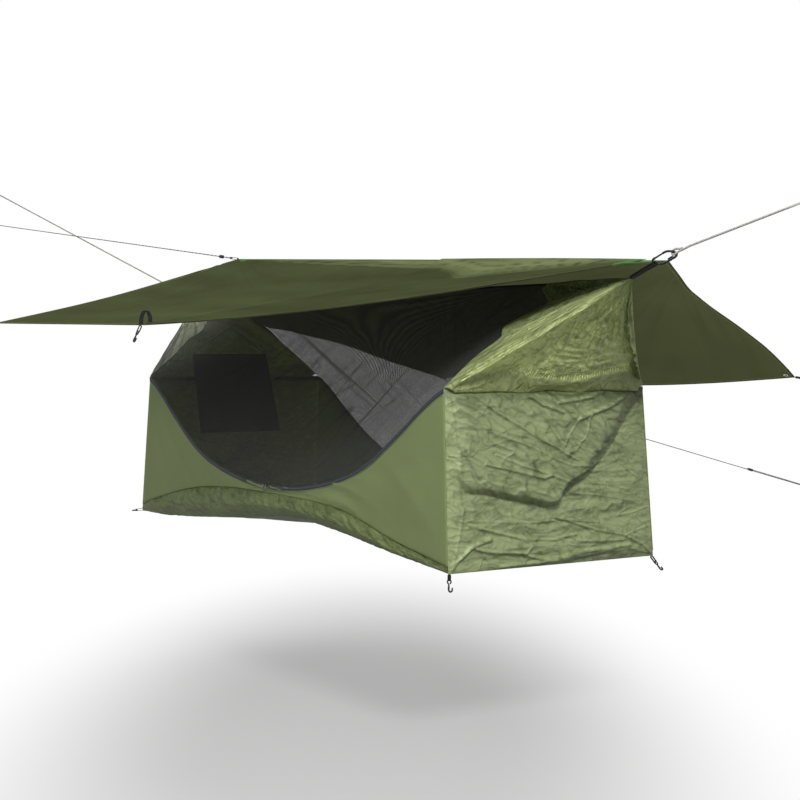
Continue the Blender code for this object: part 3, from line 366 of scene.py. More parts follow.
for end in hangs:
    pull, across = hang_axes(end)
    normal = pull.cross(across).normalized()
    top = hangs[end] + pull * CARABINER_ROD
    far = rope_ends[end]
    way = (far - top).normalized()
    flat = (normal - way * normal.dot(way)).normalized()
    route = eye_route(top, way, flat, CARABINER_ROD + EYE_ROOM + ROPE_RADIUS,
                      CARABINER_ROD + GAP + ROPE_RADIUS, 0.76, EYE_NECK, ROPE_RADIUS + GAP)
    joined = top + way * EYE_NECK * 2
    route += [joined.lerp(far, share) for share in (0, 0.25, 0.5, 0.75, 1)]
    rope = swept_rod(f"{end}_sling", route, ROPE_RADIUS, rope_grey, node=f"{end}_rope")
    knot = end_knot(f"{end}_sling_knot", far - way * 0.006, way, ROPE_RADIUS, rope_grey)


# Carabiners: black anodised alloy rod bent to a long D, with a sprung gate of thinner rod
# across the gap in its straight side. The fly's own hook clips over the head one.
def metal_finish(name, colour, roughness):
    """Anodised alloy, rubbed paler in scattered patches."""
    made, tree, shader = new_finish(name, colour, roughness, 0.85)
    where = wire(tree, "ShaderNodeTexCoord").outputs["Object"]
    rub = speckle(tree, where, 140.0, 6.0, 0.7)
    worn = ranged(tree, rub, 0.58, 0.75)
    tint = mixed(tree, worn, colour, (0.06, 0.06, 0.065))
    tree.links.new(tint, shader.inputs["Base Color"])
    dull = ranged(tree, rub, 0.3, 0.8, roughness - 0.08, roughness + 0.16)
    tree.links.new(dull, shader.inputs["Roughness"])
    bump(tree, shader, rub, 0.15, 0.0002)
    return made


black_alloy = metal_finish("black_alloy", (0.018, 0.018, 0.020), 0.34)
CARABINER_INSIDE, CARABINER_HALF, GATE_ROD, GATE_ROOM = 0.074, 0.0145, 0.0024, 0.0005
GATE_START, GATE_END = 0.30, 0.74
for end in hangs:
    pull, across = hang_axes(end)
    top = hangs[end] + pull * CARABINER_ROD
    span = CARABINER_INSIDE + 2 * CARABINER_ROD
    wide = CARABINER_HALF + CARABINER_ROD
    route = [top - pull * span * GATE_START - across * wide]
    for middle, start in ((wide, 0), (span - wide, math.pi)):
        for step in range(17):
            angle = start + math.pi * step / 16
            route.append(top - pull * (middle - wide * math.sin(angle)) - across * wide * math.cos(angle))
    route.append(top - pull * span * GATE_END - across * wide)
    swept_rod(f"{end}_snap_link", route, CARABINER_ROD, black_alloy, sides=16, node=f"{end}_carabiner")
    neck = GATE_ROOM + GATE_ROD
    gate = [top - pull * (span * share + room) - across * wide
            for share, room in ((GATE_END, -GATE_ROOM), (GATE_END, -neck), (GATE_START, neck),
                                (GATE_START, GATE_ROOM))]
    swept_rod(f"{end}_snap_gate", gate, GATE_ROD, black_alloy, shares=(0.4, 1, 1, 0.4),
              body=f"{end}_gate_arm", node=f"{end}_gate")


# Webbing: each strap and tie-out is one length of black polypropylene tape, sewn into a long
# loop, whose ribs run across it.
ribs, given, put = new_group("webbing_ribs", ("Vector",), ("Height",))
split = wire(ribs, "ShaderNodeSeparateXYZ", Vector=given["Vector"]).outputs
rows = rows_of(ribs, split["X"], 0.0011)
lanes = rows_of(ribs, split["Y"], 0.0016)
weave = maths(ribs, "MULTIPLY_ADD", lanes, 0.5, rows)
ribs.links.new(weave, put["Height"])

webbing, tree, shader = new_finish("webbing_black", (0.012, 0.012, 0.013), 0.72)
shader.inputs["Specular IOR Level"].default_value = 0.2
uv = wire(tree, "ShaderNodeTexCoord").outputs["UV"]
woven = wire(tree, "ShaderNodeGroup", {"node_tree": ribs}, Vector=uv).outputs[0]
# Painted shade and highlight: the tape is darker between its ribs and lighter on them.
fade = ranged(tree, woven, -1.5, 1.5)
tint = mixed(tree, fade, (0.006, 0.006, 0.007), (0.022, 0.022, 0.024))
tree.links.new(tint, shader.inputs["Base Color"])
bump(tree, shader, woven, 0.7, 0.0003)


def soften(piece, width):
    """Round the edges of a piece."""
    soft = piece.modifiers.new("edges", "BEVEL")
    soft.width = width
    soft.segments = 2


def webbing_loop(name, ends, halves, across, wide, thick, node, body="tent"):
    """Tape run round two ends: each is rounded to its own half, and joined by straights."""
    bm = bmesh.new()
    uv = bm.loops.layers.uv.verify()
    (start, end), (small, large) = ends, halves
    axis = (end - start).normalized()
    across = across.normalized()
    normal = axis.cross(across).normalized()
    loop = []
    for centre, half, turn in ((end, large, 1), (start, small, -1)):
        for step in range(13):
            angle = math.pi * (step / 12 - 0.5)
            loop.append(centre + (axis * math.cos(angle) + normal * math.sin(angle)) * half * turn)
    bmesh.ops.create_grid(bm, x_segments=len(loop), y_segments=6, size=0.5, calc_uvs=True)
    marks = [0.0]
    for n in range(len(loop)):
        marks.append(marks[-1] + (loop[(n + 1) % len(loop)] - loop[n]).length)
    for vert in bm.verts:
        n = round((vert.co.x + 0.5) * len(loop)) % len(loop)
        vert.co = loop[n] + across * wide * vert.co.y - HANG
    for face in bm.faces:
        for corner in face.loops:
            corner[uv].uv = (marks[round(corner[uv].uv.x * len(loop))], corner[uv].uv.y * wide)
    bmesh.ops.remove_doubles(bm, verts=bm.verts, dist=0.00002)
    bmesh.ops.recalc_face_normals(bm, faces=bm.faces)
    piece = hand_in(name, bm, webbing, body, node)
    wall = piece.modifiers.new("thickness", "SOLIDIFY")
    wall.thickness = thick
    wall.offset = 0
    wall.use_even_offset = True
    soften(piece, thick * 0.3)


STRAP_WIDTH, STRAP_THICK = 0.010, 0.0016
TAB_HALF, TAB_WIDTH, TAB_THICK, TAB_LENGTH = 0.0035, 0.007, 0.0014, 0.026
NET_END, HOOD_TIP = 0.957, 0.012
TIP_SHARE = HOOD_TIP * (1 - NET_END / APEX_REACH)
for end in hangs:
    apex = apexes[end]
    pull, across = hang_axes(end)
    low = hangs[end] - pull * (CARABINER_INSIDE + CARABINER_ROD - GAP * 1.4)
    near = apex - ALONG * apex.x * TIP_SHARE + pull * (STRAP_THICK / 2 + TAB_HALF + GAP * 3)
    webbing_loop(f"{end}_strap_loop", (near, low), (TAB_HALF, CARABINER_ROD + 1.6 * EYE_ROOM), across,
                 STRAP_WIDTH, STRAP_THICK, f"{end}_strap")


def tie_loop(node, root, way, across, length=TAB_LENGTH):
    """A small loop sewn to root that reaches along way; returns where its far strand is."""
    way = way.normalized()
    across = (across - way * across.dot(way)).normalized()
    start = root + way * (TAB_HALF + TAB_THICK * 0.55 + GAP)
    end = start + way * (length - TAB_HALF)
    webbing_loop(f"{node}_tape", (start, end), (TAB_HALF, TAB_HALF), across, TAB_WIDTH, TAB_THICK, node)
    return end + way * TAB_HALF


# Hooks: moulded black nylon hooks with an eye round the tie loop, at the floor's corners and
# the fly's tie-out, and a wire one of black alloy on the fly's head tab.
nylon, tree, shader = new_finish("moulded_nylon", (0.014, 0.014, 0.015), 0.48)
where = wire(tree, "ShaderNodeTexCoord").outputs["Object"]
grain = speckle(tree, where, 900.0, 3.0)
scuff = speckle(tree, where, 70.0, 5.0)
rubbed = ranged(tree, scuff, 0.45, 0.75)
tint = mixed(tree, rubbed, (0.012, 0.012, 0.013), (0.035, 0.035, 0.036))
tree.links.new(tint, shader.inputs["Base Color"])
dull = ranged(tree, scuff, 0.0, 1.0, 0.38, 0.60)
tree.links.new(dull, shader.inputs["Roughness"])
bump(tree, shader, grain, 0.25, 0.0001)
shader.inputs["Specular IOR Level"].default_value = 0.2
HOOK_ROD, HOOK_EYE, HOOK_SEAT, HOOK_SHANK, HOOK_BEND = 0.0014, 0.0062, 0.0018, 0.016, 0.0060


def hook_eye(eye_at, down, side):
    """The open ring of a hook's eye, and its turn into the shank."""
    route = []
    for n in range(22):
        angle = math.radians(28 + 280 * n / 21)
        route.append(eye_at + (down * math.cos(angle) + side * math.sin(angle)) * HOOK_EYE)
    return route + [eye_at + down * (HOOK_EYE + HOOK_ROD) - side * HOOK_ROD * 0.8]


def tarp_hook(node, loop_at, down, side, body):
    """Eye, shank and open bend, in one rod that thickens at the shank."""
    side = (side - down * side.dot(down)).normalized()
    eye_at = loop_at + down * HOOK_SEAT
    route = hook_eye(eye_at, down, side)
    heel = eye_at + down * (HOOK_EYE + HOOK_SHANK) - side * HOOK_ROD
    route += [route[-1].lerp(heel, 0.33), route[-1].lerp(heel, 0.66), heel]
    middle = heel + side * HOOK_BEND
    for n in range(1, 13):
        angle = math.pi * n / 12
        route.append(middle - side * HOOK_BEND * math.cos(angle) + down * HOOK_BEND * math.sin(angle))
    route.append(route[-1] - down * HOOK_BEND)
    shares = [1.5] * 6 + [1.0] * 11 + [1.5] * 6 + [1.8, 2.0, 1.9] + [1.7] * 12 + [1.2]
    swept_rod(f"{node}_moulding", route, HOOK_ROD, nylon, sides=10, shares=shares, body=body, node=node)


FLOOR_LENGTH, FLOOR_WIDTH, BAR_HEIGHT, CLOTH = 2.0, 0.769, 0.513, 0.0016
SHORTER_AT_BAR, NARROWER_AT_BAR = 0.086, 0.026


def half_length(z):
    """Half the tent's length at a height: its ends lean in a little."""
    return (FLOOR_LENGTH - SHORTER_AT_BAR * z / BAR_HEIGHT) / 2


def half_width(z):
    """Half the tent's width at a height."""
    return (FLOOR_WIDTH - NARROWER_AT_BAR * z / BAR_HEIGHT) / 2


clear = TAB_HALF + TAB_THICK * 0.55 + GAP
out = FLOOR_WIDTH / 2 - CLOTH - 3 * GAP - TAB_WIDTH / 2
under = FLOOR_LENGTH / 2 - CLOTH / 2
behind = -half_length(clear) - clear
for corner, start, way, across, length, body in (
        ("near_head", (under, -out, -clear), (0.12, -0.1, -1), AWAY, 0.014, "hook_near_head"),
        ("far_head", (under, out, -clear), (0.2, 0.6, -0.8), ALONG, 0.021, "hook_far_head"),
        ("near_foot", (behind, -out, clear), (-1, -0.1, -0.14), AWAY, 0.052, "hook_near_foot"),
        ("far_foot", (behind, out, clear), (-1, 0.1, -0.14), AWAY, 0.052, "hook_far_foot")):
    way = Vector(way).normalized()
    last = tie_loop(f"{corner}_corner_loop", Vector(start) - way * clear, way, across, length)
    tarp_hook(f"{corner}_corner_hook", last, way, across, body)


# The fly's fittings: webbing tabs at its ridge ends, corners and tie-out, the wire hook on
# the head one, and the flecked ridge line and grey guys with their cord locks.
FLY_HEAD = HANG + Vector((-0.049, 0.030, -0.017))
FLY_FOOT = Vector((-0.952, 0.0, 0.972))
FLY_FAR_HEAD = Vector((1.080, 0.910, 0.5405))
FLY_FAR_FOOT = Vector((-0.865, 0.912, 0.507))
FLY_NEAR_FOOT = Vector((-0.920, -0.992, 0.706))
FLY_NEAR_MID = Vector((0.333, -0.999, 0.6865))
FLY_FOLD_END = FLY_HEAD + Vector((-0.084, -0.058, -0.005))
FLY_CLOTH = 0.0014
LINE_END, LINE_RADIUS, FLY_LINE_RADIUS = Vector((-3.730, -0.030, 1.285)), 0.0018, 0.0020
pull, across = hang_axes("head")
normal = pull.cross(across)
last = tie_loop("fly_head_tab", FLY_HEAD, pull, across, TAB_LENGTH / 2)
route = hook_eye(last + pull * HOOK_SEAT, pull, -across)
centre = HANG + pull * (CARABINER_ROD - 0.26 * CARABINER_HALF) + across * 0.0105
for n in range(13):
    turn = math.radians(90 - 15 * n)
    route.append(centre + (pull * math.cos(turn) + normal * math.sin(turn)) * HOOK_BEND)
route.append(route[-1] - pull * HOOK_BEND)
swept_rod("fly_head_wire_hook", route, HOOK_ROD, black_alloy, sides=10, node="fly_head_hook")

flecked = cord_finish("flecked_cord", (0.50, 0.50, 0.48), (0.012, 0.012, 0.013), 0.006, 0.034)
guy_grey = cord_finish("guy_grey", (0.33, 0.35, 0.33), (0.12, 0.13, 0.12), 0.005, 0.012)


def corded_eye(name, tab_end, far, normal, radius, finish, node, neck):
    """A line whose eye is round a tab's far strand, drawn straight to far and knotted there."""
    way = (far - tab_end).normalized()
    normal = (normal - way * normal.dot(way)).normalized()
    route = eye_route(tab_end, way, normal, TAB_WIDTH / 2 + 2 * GAP + radius, TAB_THICK / 2 + GAP + radius,
                      0.9, neck, radius + GAP)
    joined = tab_end + way * (neck + EYE_NECK)
    route += [joined.lerp(far, share) for share in (0, 0.2, 0.4, 0.6, 0.8, 1)]
    line = swept_rod(name, route, radius, finish, sides=10, node=node)
    knot = end_knot(f"{name}_knot", far - way * 0.004, way, radius, finish)


def cord_lock(name, centre, axis, hole, outer, length, body, node):
    """A moulded barrel round a line, waisted, with its hole open at both ends."""
    bm = bmesh.new()
    turn = axis.to_track_quat("Z", "Y").to_matrix().to_4x4()
    outline = ((hole, -0.5), (outer * 0.93, -0.5), (outer, -0.44), (outer, -0.2), (outer * 0.88, -0.1),
               (outer * 0.88, 0.1), (outer, 0.2), (outer, 0.44), (outer * 0.93, 0.5), (hole, 0.5))
    profile = [bm.verts.new((reach, 0, along * length)) for reach, along in outline]
    edges = [bm.edges.new(pair) for pair in zip(profile, profile[1:] + profile[:1])]
    bmesh.ops.spin(bm, geom=profile + edges, cent=(0, 0, 0), axis=(0, 0, 1), angle=2 * math.pi, steps=28,
                   use_merge=True)
    bmesh.ops.remove_doubles(bm, verts=bm.verts, dist=0.00002)
    bmesh.ops.recalc_face_normals(bm, faces=bm.faces)
    bmesh.ops.transform(bm, matrix=Matrix.Translation(centre - HANG) @ turn, verts=bm.verts)
    piece = hand_in(name, bm, nylon, body, node)
    soften(piece, 0.0003)


LOCK_RADIUS, LOCK_LENGTH, LOCK_ROOM = 0.0060, 0.022, 0.0004
way = (LINE_END - FLY_FOOT).normalized()
last = tie_loop("fly_foot_tab", FLY_FOOT, way, AWAY, 0.055)
lock_at = FLY_FOOT + way * 0.136
cord_lock("ridge_line_lock", lock_at, way, 2 * FLY_LINE_RADIUS + GAP + LOCK_ROOM,
          LOCK_RADIUS + LOCK_ROOM * 2, LOCK_LENGTH, "line_slider", "ridge_line_slider")
neck = (lock_at - last).length + LOCK_LENGTH / 2
corded_eye("ridge_line", last, LINE_END, AWAY, FLY_LINE_RADIUS, flecked, "fly_ridge_line", neck)

out = Vector((0, -0.45, -0.89)).normalized()
last = tie_loop("mid_tieout_tab", FLY_NEAR_MID - UP * FLY_CLOTH, out, ALONG, TAB_LENGTH * 0.7)
tarp_hook("mid_tieout_hook", last, out, ALONG, "hook_tieout")
tie_loop("near_foot_tab", FLY_NEAR_FOOT, FLY_NEAR_FOOT - FLY_NEAR_MID + Vector((0, -0.6, -0.3)), UP)
SHORT_GUY_END = Vector((1.150, 1.010, 0.520))
last = tie_loop("far_head_tab", FLY_FAR_HEAD, SHORT_GUY_END - FLY_FAR_HEAD, UP)
corded_eye("head_corner_guy", last, SHORT_GUY_END, UP, LINE_RADIUS, guy_grey, "far_head_guy", EYE_NECK)

# The far foot guy runs out to its stake, round it, and back to the lock that tightens it.
GUY_END = Vector((-0.560, 3.015, -0.060))
way = (GUY_END - FLY_FAR_FOOT).normalized()
start = tie_loop("far_foot_tab", FLY_FAR_FOOT, way, UP)
side = (UP - way * UP.dot(way)).normalized()
beside = LINE_RADIUS + GAP
length = (GUY_END - start).length
lock_at = length * 0.765
route = eye_route(start, way, side, TAB_WIDTH / 2 + 2 * GAP + LINE_RADIUS, TAB_THICK / 2 + GAP + LINE_RADIUS,
                  0.9, EYE_NECK, beside)
stake = TAB_HALF * 2
bend = ((lock_at, -beside), (length - stake * 5, -beside), (length - stake * 2, -stake * 0.7),
        (length - stake, -stake), (length, 0), (length - stake, stake), (length - stake * 2, stake * 0.7),
        (length - stake * 5, beside))
route += smooth_route([start + way * along + side * off for along, off in bend], 40)
route.append(start + way * (lock_at - LOCK_LENGTH) + side * beside)
guy = swept_rod("foot_corner_guy", route, LINE_RADIUS, guy_grey, sides=10, node="far_foot_guy")
cord_lock("guy_lock", start + way * lock_at, way, 2 * LINE_RADIUS + GAP + LOCK_ROOM, LOCK_RADIUS,
          LOCK_LENGTH, "guy_slider", "guy_tensioner")


# Side walls: light ripstop nylon, cut along the zip's curve at the top, drawn tight between
# the corners and sewn to the pad sleeve's seam below.
def dye(red, green, blue):
    """A colour as it is seen, from 0 to 255, in the shader's own scale."""
    return tuple(((c / 255 + 0.055) / 1.055) ** 2.4 for c in (red, green, blue))


ripstop, given, put = new_group("ripstop_threads", ("Vector", "Grid", "Thread"), ("Height",))
split = wire(ripstop, "ShaderNodeSeparateXYZ", Vector=given["Vector"]).outputs
wider = maths(ripstop, "MULTIPLY", given["Thread"], 1.35)
threads = []
for axis in ("X", "Y"):
    cells = maths(ripstop, "DIVIDE", split[axis], given["Grid"])
    near = maths(ripstop, "PINGPONG", cells, 0.5)
    threads.append(ranged(ripstop, near, given["Thread"], wider, 1.0, 0.0))
both = maths(ripstop, "MAXIMUM", threads[0], threads[1])
ripstop.links.new(both, put["Height"])

crumple, given, put = new_group("crumpled_cloth", ("Vector", "Scale"), ("Height", "Shade", "Line"))
swirl = wire(crumple, "ShaderNodeTexNoise", Vector=given["Vector"], Scale=given["Scale"],
             Detail=2.0).outputs["Color"]
push = wire(crumple, "ShaderNodeVectorMath", {"operation": "SCALE"}, _0=swirl, Scale=0.09).outputs[0]
bent = wire(crumple, "ShaderNodeVectorMath", {"operation": "ADD"}, _0=given["Vector"], _1=push).outputs[0]
longer = wire(crumple, "ShaderNodeVectorMath", {"operation": "MULTIPLY"}, _0=bent,
              _1=(0.30, 1.0, 1.0)).outputs[0]
folds, lines = [], []
for factor in (1.0, 2.7):
    size = maths(crumple, "MULTIPLY", given["Scale"], factor)
    field = speckle(crumple, longer, size, 1.0)
    off = maths(crumple, "ABSOLUTE", maths(crumple, "SUBTRACT", field, 0.5))
    folds.append(ranged(crumple, off, 0.0, 0.16, 1.0, 0.0))
    lines.append(ranged(crumple, off, 0.0, 0.030, 1.0, 0.0))
line = maths(crumple, "MAXIMUM", lines[0], lines[1])
height = maths(crumple, "MULTIPLY_ADD", folds[1], 0.35, folds[0])
broad = speckle(crumple, given["Vector"], given["Scale"], 5.0, 0.62)
crumple.links.new(height, put["Height"])
crumple.links.new(broad, put["Shade"])
crumple.links.new(line, put["Line"])


def nylon_cloth(name, light, dark, roughness, crinkle, depth, grid=0.005, gloss=0.3, through_it=0.22,
                glow=(0.72, 0.78, 0.40), crease_shade=0.0):
    """Coated nylon: two tints that vary softly, ripstop threads and crinkles of a given depth.

    The attribute fold paints shade (above 0) and highlights (below 0) into it, and light from behind shows
    through.
    """
    made, tree, shader = new_finish(name, light, roughness)
    shader.inputs["Specular IOR Level"].default_value = gloss
    uv = wire(tree, "ShaderNodeTexCoord").outputs["UV"]
    folds = wire(tree, "ShaderNodeGroup", {"node_tree": crumple}, Vector=uv, Scale=crinkle).outputs
    thread = wire(tree, "ShaderNodeGroup", {"node_tree": ripstop}, Vector=uv, Grid=grid,
                  Thread=0.05).outputs[0]
    tint = ranged(tree, folds["Shade"], 0.3, 0.7)
    colour = mixed(tree, tint, dark, light)
    lit = ranged(tree, thread, 0.0, 1.0, 0.98, 1.10)
    # Painted shade along the crease lines of the crinkles, slightly lighter between them.
    crease = ranged(tree, folds["Line"], 0.0, 1.0, 1 + crease_shade * 0.2, 1 - crease_shade)
    lit = maths(tree, "MULTIPLY", lit, crease)
    colour = tinted(tree, colour, lit)
    # Painted light: fold above 0 darkens the colour as shade, below 0 lightens it as a highlight.
    fold = wire(tree, "ShaderNodeAttribute", {"attribute_name": "fold"}).outputs["Fac"]
    double = maths(tree, "MULTIPLY_ADD", fold, -0.5, 1.0)
    colour = tinted(tree, colour, double)
    tree.links.new(colour, shader.inputs["Base Color"])
    behind = wire(tree, "ShaderNodeBsdfTranslucent", Color=(*glow, 1)).outputs[0]
    both = wire(tree, "ShaderNodeMixShader", _0=through_it, _1=shader.outputs[0], _2=behind).outputs[0]
    tree.links.new(both, tree.nodes["Material Output"].inputs["Surface"])
    worn = ranged(tree, folds["Shade"], 0.0, 1.0, roughness - 0.1, roughness + 0.1)
    tree.links.new(worn, shader.inputs["Roughness"])
    soft = maths(tree, "MULTIPLY", folds["Height"], depth)
    full = maths(tree, "MULTIPLY_ADD", thread, 0.00005, soft)
    bump(tree, shader, full, 1.0, 1.0)
    return made, tree, shader, full, colour


def ridged(x, y, z=0.0):
    """Sharp-crested waves of cloth, about -1 to 1, from a smooth random field."""
    return 1 - 2.6 * abs(noise.noise(Vector((x, y, z))))


def crease_line(x, y, z=0.0, sharp=16):
    """1 on the crests of the same waves, and 0 a little beside them."""
    return max(0.0, 1 - sharp * abs(noise.noise(Vector((x, y, z)))))


def ramp(value, low, high):
    """A soft step from 0 at low to 1 at high."""
    t = min(max((value - low) / (high - low), 0), 1)
    return t * t * (3 - 2 * t)


def sewn_cloth(name, place, columns, rows, size, outward, finish, thick, node=None, body="tent", ripple=None,
               mark=None, fold=None, cap=None):
    """A sheet whose outer face follows place(u, v), with its thickness inside that face.

    ripple(u, v) moves it along its own normal, mark(u, v) and fold(u, v) are kept on it as
    attributes, and an end ring close to cap is closed. Its UV map is in metres.
    """
    bm = bmesh.new()
    uv = bm.loops.layers.uv.verify()
    bmesh.ops.create_grid(bm, x_segments=columns, y_segments=rows, size=0.5, calc_uvs=True)
    layers = [(bm.verts.layers.float.new(label), value) for label, value in (("mark", mark), ("fold", fold))
              if value]
    shares = {vert: (vert.co.x + 0.5, vert.co.y + 0.5) for vert in bm.verts}
    for vert, (u, v) in shares.items():
        for layer, value in layers:
            vert[layer] = value(u, v)
        vert.co = place(u, v) - HANG
    for face in bm.faces:
        for corner in face.loops:
            corner[uv].uv = (corner[uv].uv.x * size[0], corner[uv].uv.y * size[1])
    bm.normal_update()
    facing = sum((face.normal * face.calc_area() for face in bm.faces), Vector())
    lowest = min(bm.faces, key=lambda face: face.calc_center_median().z)
    if (facing.dot(outward) if outward else -lowest.normal.z) < 0:
        bmesh.ops.reverse_faces(bm, faces=bm.faces)
        bm.normal_update()
    if ripple:
        moves = [(vert, vert.normal * ripple(u, v)) for vert, (u, v) in shares.items()]
        for vert, move in moves:
            vert.co += move
    bmesh.ops.remove_doubles(bm, verts=bm.verts, dist=0.00003)
    if cap:
        ring = [edge for edge in bm.edges if edge.is_boundary
                and all((vert.co + HANG - cap).length < 0.03 for vert in edge.verts)]
        bmesh.ops.holes_fill(bm, edges=ring, sides=0)
    piece = hand_in(name, bm, finish, body, node)
    if thick:
        wall = piece.modifiers.new("thickness", "SOLIDIFY")
        wall.thickness = thick
        wall.offset = -1
    return piece


ARC, ARC_HALF, ZIP_LOW = 1.680, 0.450, 0.173
ZIP_RISE = ((0, 0), (0.158, 0.103), (0.335, 0.264), (0.592, 0.551), (0.789, 0.792), (0.927, 0.939), (1, 1))
SEAM = ((-1, 0.16), (-0.93, 0.32), (-0.52, 0.87), (-0.04, 1), (0.43, 0.88), (0.76, 0.39), (1, 0.11))
RIM = ((-1, 0), (-0.75, 0.06), (-0.29, 0.52), (0.1, 1), (0.22, 0.99), (0.4, 0.81), (0.76, 0.3), (0.91, 0.12),
       (1, 0))


def zip_height(x):
    """The door zip runs on an arc in the middle, then rises to the corners."""
    x = min(abs(x), NET_END)
    side = min(x, ARC_HALF)
    low = ZIP_LOW + ARC - math.sqrt(ARC ** 2 - side ** 2)
    return low + (BAR_HEIGHT - low) * through(ZIP_RISE, (x - side) / (NET_END - ARC_HALF))


def seam_height(share):
    """Height of the seam that joins wall and sleeve, from the foot end at -1 to the head at 1."""
    return 0.146 * through(SEAM, share)


def rim_height(share):
    """Height of the sleeve's lower rim, which arches up between its ends."""
    return 0.079 * through(RIM, share)


wall_olive = nylon_cloth("wall_olive", dye(132, 146, 99), dye(124, 138, 90), 0.6, 9.0, 0.0006)[0]
for label, side in SIDES:
    def wall_place(u, v, side=side):
        """A point of the wall: u from the foot to the head, v from the seam up to the zip."""
        share = 2 * u - 1
        low, high = seam_height(share) + GAP, zip_height(share * NET_END)
        z = low + (high - low) * v
        x = half_length(low) + (NET_END - half_length(low)) * v
        return Vector((share * x, side * half_width(z), z))

    def wall_ripple(u, v, side=side):
        """A soft drape, pulls along the wall and small tucks at the seam."""
        share = 2 * u - 1
        free = 1 - share ** 12
        tall = zip_height(share * NET_END) - seam_height(share)
        drape = noise.noise(Vector((share * 3.2 + v, v * 1.4, side * 4.0))) * 0.010 * math.sin(math.pi * v)
        pull = ridged(share * 7 + v * 2.5, v * 1.2, side * 9.0) * 0.0022 * math.sin(math.pi * v)
        gather = math.exp(-v * tall / 0.03) * min(v * 30, 1)
        tuck = ridged(share * 30, v * 3, side) * 0.0016 * gather
        return (drape + pull + tuck) * free
    wall = sewn_cloth(f"{label}_side_wall", wall_place, 220, 40, (1.95, 0.30), AWAY * side, wall_olive, CLOTH,
                      f"{label}_wall", ripple=wall_ripple)


# Door zips: a coil zip on black woven tape, sewn over the wall's upper edge with a folded
# piping below it. The two metal sliders are parked side by side near the middle.
zip_black, tree, shader = new_finish("zip_tape", dye(24, 26, 34), 0.72)
uv = wire(tree, "ShaderNodeTexCoord").outputs["UV"]
split = wire(tree, "ShaderNodeSeparateXYZ", Vector=uv).outputs
tooth = rows_of(tree, split["X"], 0.0016)
off = maths(tree, "ABSOLUTE", maths(tree, "SUBTRACT", split["Y"], 0.0098))
# Painted highlight: a pale blue glint along the coil, brighter on each tooth; the coil also stands out in the
# bump.
coil = ranged(tree, off, 0.0009, 0.0015, 1.0, 0.0)
teeth = ranged(tree, tooth, -1.0, 1.0, 0.3)
shown = maths(tree, "MULTIPLY", coil, teeth)
tape_and_glint = mixed(tree, shown, dye(22, 24, 32), dye(88, 95, 112))
# Painted shadow: a thin dark line along the seam, just above the piping.
seam = ranged(tree, split["Y"], 0.0026, 0.0030, 1.0, 0.0)
sewn = mixed(tree, seam, tape_and_glint, dye(20, 21, 20))
piping = ranged(tree, split["Y"], 0.0017, 0.0020, 1.0, 0.0)
tint = mixed(tree, piping, sewn, dye(138, 148, 104))
tree.links.new(tint, shader.inputs["Base Color"])
weave = rows_of(tree, split["Y"], 0.0006)
relief = maths(tree, "MULTIPLY_ADD", shown, 4.0, weave)
bump(tree, shader, relief, 0.8, 0.0002)


def bell(value, centre, width):
    """1 at centre, falling softly to 0 a few widths to both sides."""
    return math.exp(-((value - centre) / width) ** 2)


def thicken(bm, faces, height):
    """Raise flat faces to a plate of a height."""
    raised = bmesh.ops.extrude_face_region(bm, geom=faces)["geom"]
    top = [part for part in raised if isinstance(part, bmesh.types.BMVert)]
    bmesh.ops.translate(bm, vec=(0, 0, height), verts=top)


slider_metal = metal_finish("slider_metal", (0.10, 0.10, 0.105), 0.38)
TAPE_WIDTH, TAPE_THICK = 0.017, 0.0012
lean = math.atan(NARROWER_AT_BAR / 2 / BAR_HEIGHT)
for label, side in SIDES:
    def tape_place(u, v, side=side):
        """A point of the tape, which stands out at the coil and at the piping."""
        x = (2 * u - 1) * NET_END
        z = zip_height(x) - TAPE_WIDTH * (1 - v)
        coil, cording = 0.0005 * bell(v, 0.576, 0.11), 0.0004 * bell(v, 0.05, 0.06)
        return Vector((x, side * (half_width(z) + GAP + TAPE_THICK + coil + cording), z))
    sewn_cloth(f"{label}_zip", tape_place, 320, 20, (2.06, TAPE_WIDTH), AWAY * side, zip_black, TAPE_THICK,
               f"{label}_zip_tape")

    face = half_width(ZIP_LOW + ARC) + 2 * GAP + TAPE_THICK + 0.0017
    hub = (Matrix.Translation(Vector((0, side * face, ZIP_LOW + ARC)) - HANG)
           @ Matrix.Rotation(math.pi / 2 + side * lean, 4, "X"))
    for end, shift in (("foot", -0.008), ("head", 0.008)):
        top = -ARC - GAP * 4
        bm = bmesh.new()
        bmesh.ops.create_grid(bm, x_segments=2, y_segments=4, size=0.5)
        widths = {-0.5: 0.0024, -0.25: 0.0034, 0.0: 0.0043, 0.25: 0.0045, 0.5: 0.0032}
        for vert in bm.verts:
            half = widths[round(vert.co.y * 4) / 4]
            vert.co = (vert.co.x * 2 * half, top - 0.0045 + vert.co.y * 0.009, -0.0016)
        thicken(bm, bm.faces[:], 0.0030)
        middle = top - 0.0155
        loops = []
        for wide, tall, raise_by in ((0.0023, 0.0062, 0.0), (0.0010, 0.0016, 0.0030)):
            ring = bmesh.ops.create_circle(bm, segments=24, radius=1)["verts"]
            for vert in ring:
                taper = 1 - 0.18 * vert.co.y
                vert.co = (vert.co.x * wide * taper, middle + raise_by + vert.co.y * tall, -0.0006)
            loops += [edge for edge in bm.edges if edge.verts[0] in ring and edge.verts[1] in ring]
        thicken(bm, bmesh.ops.bridge_loops(bm, edges=loops)["faces"], 0.0014)
        bmesh.ops.recalc_face_normals(bm, faces=bm.faces)
        bmesh.ops.transform(bm, matrix=hub @ Matrix.Rotation((-0.040 + shift) / ARC, 4, "Z"), verts=bm.verts)
        slider = hand_in(f"{label}_slider_{end}", bm, slider_metal, f"{label}_slider_{end}",
                         f"{label}_zip_slider_{end}")
        soften(slider, 0.0004)


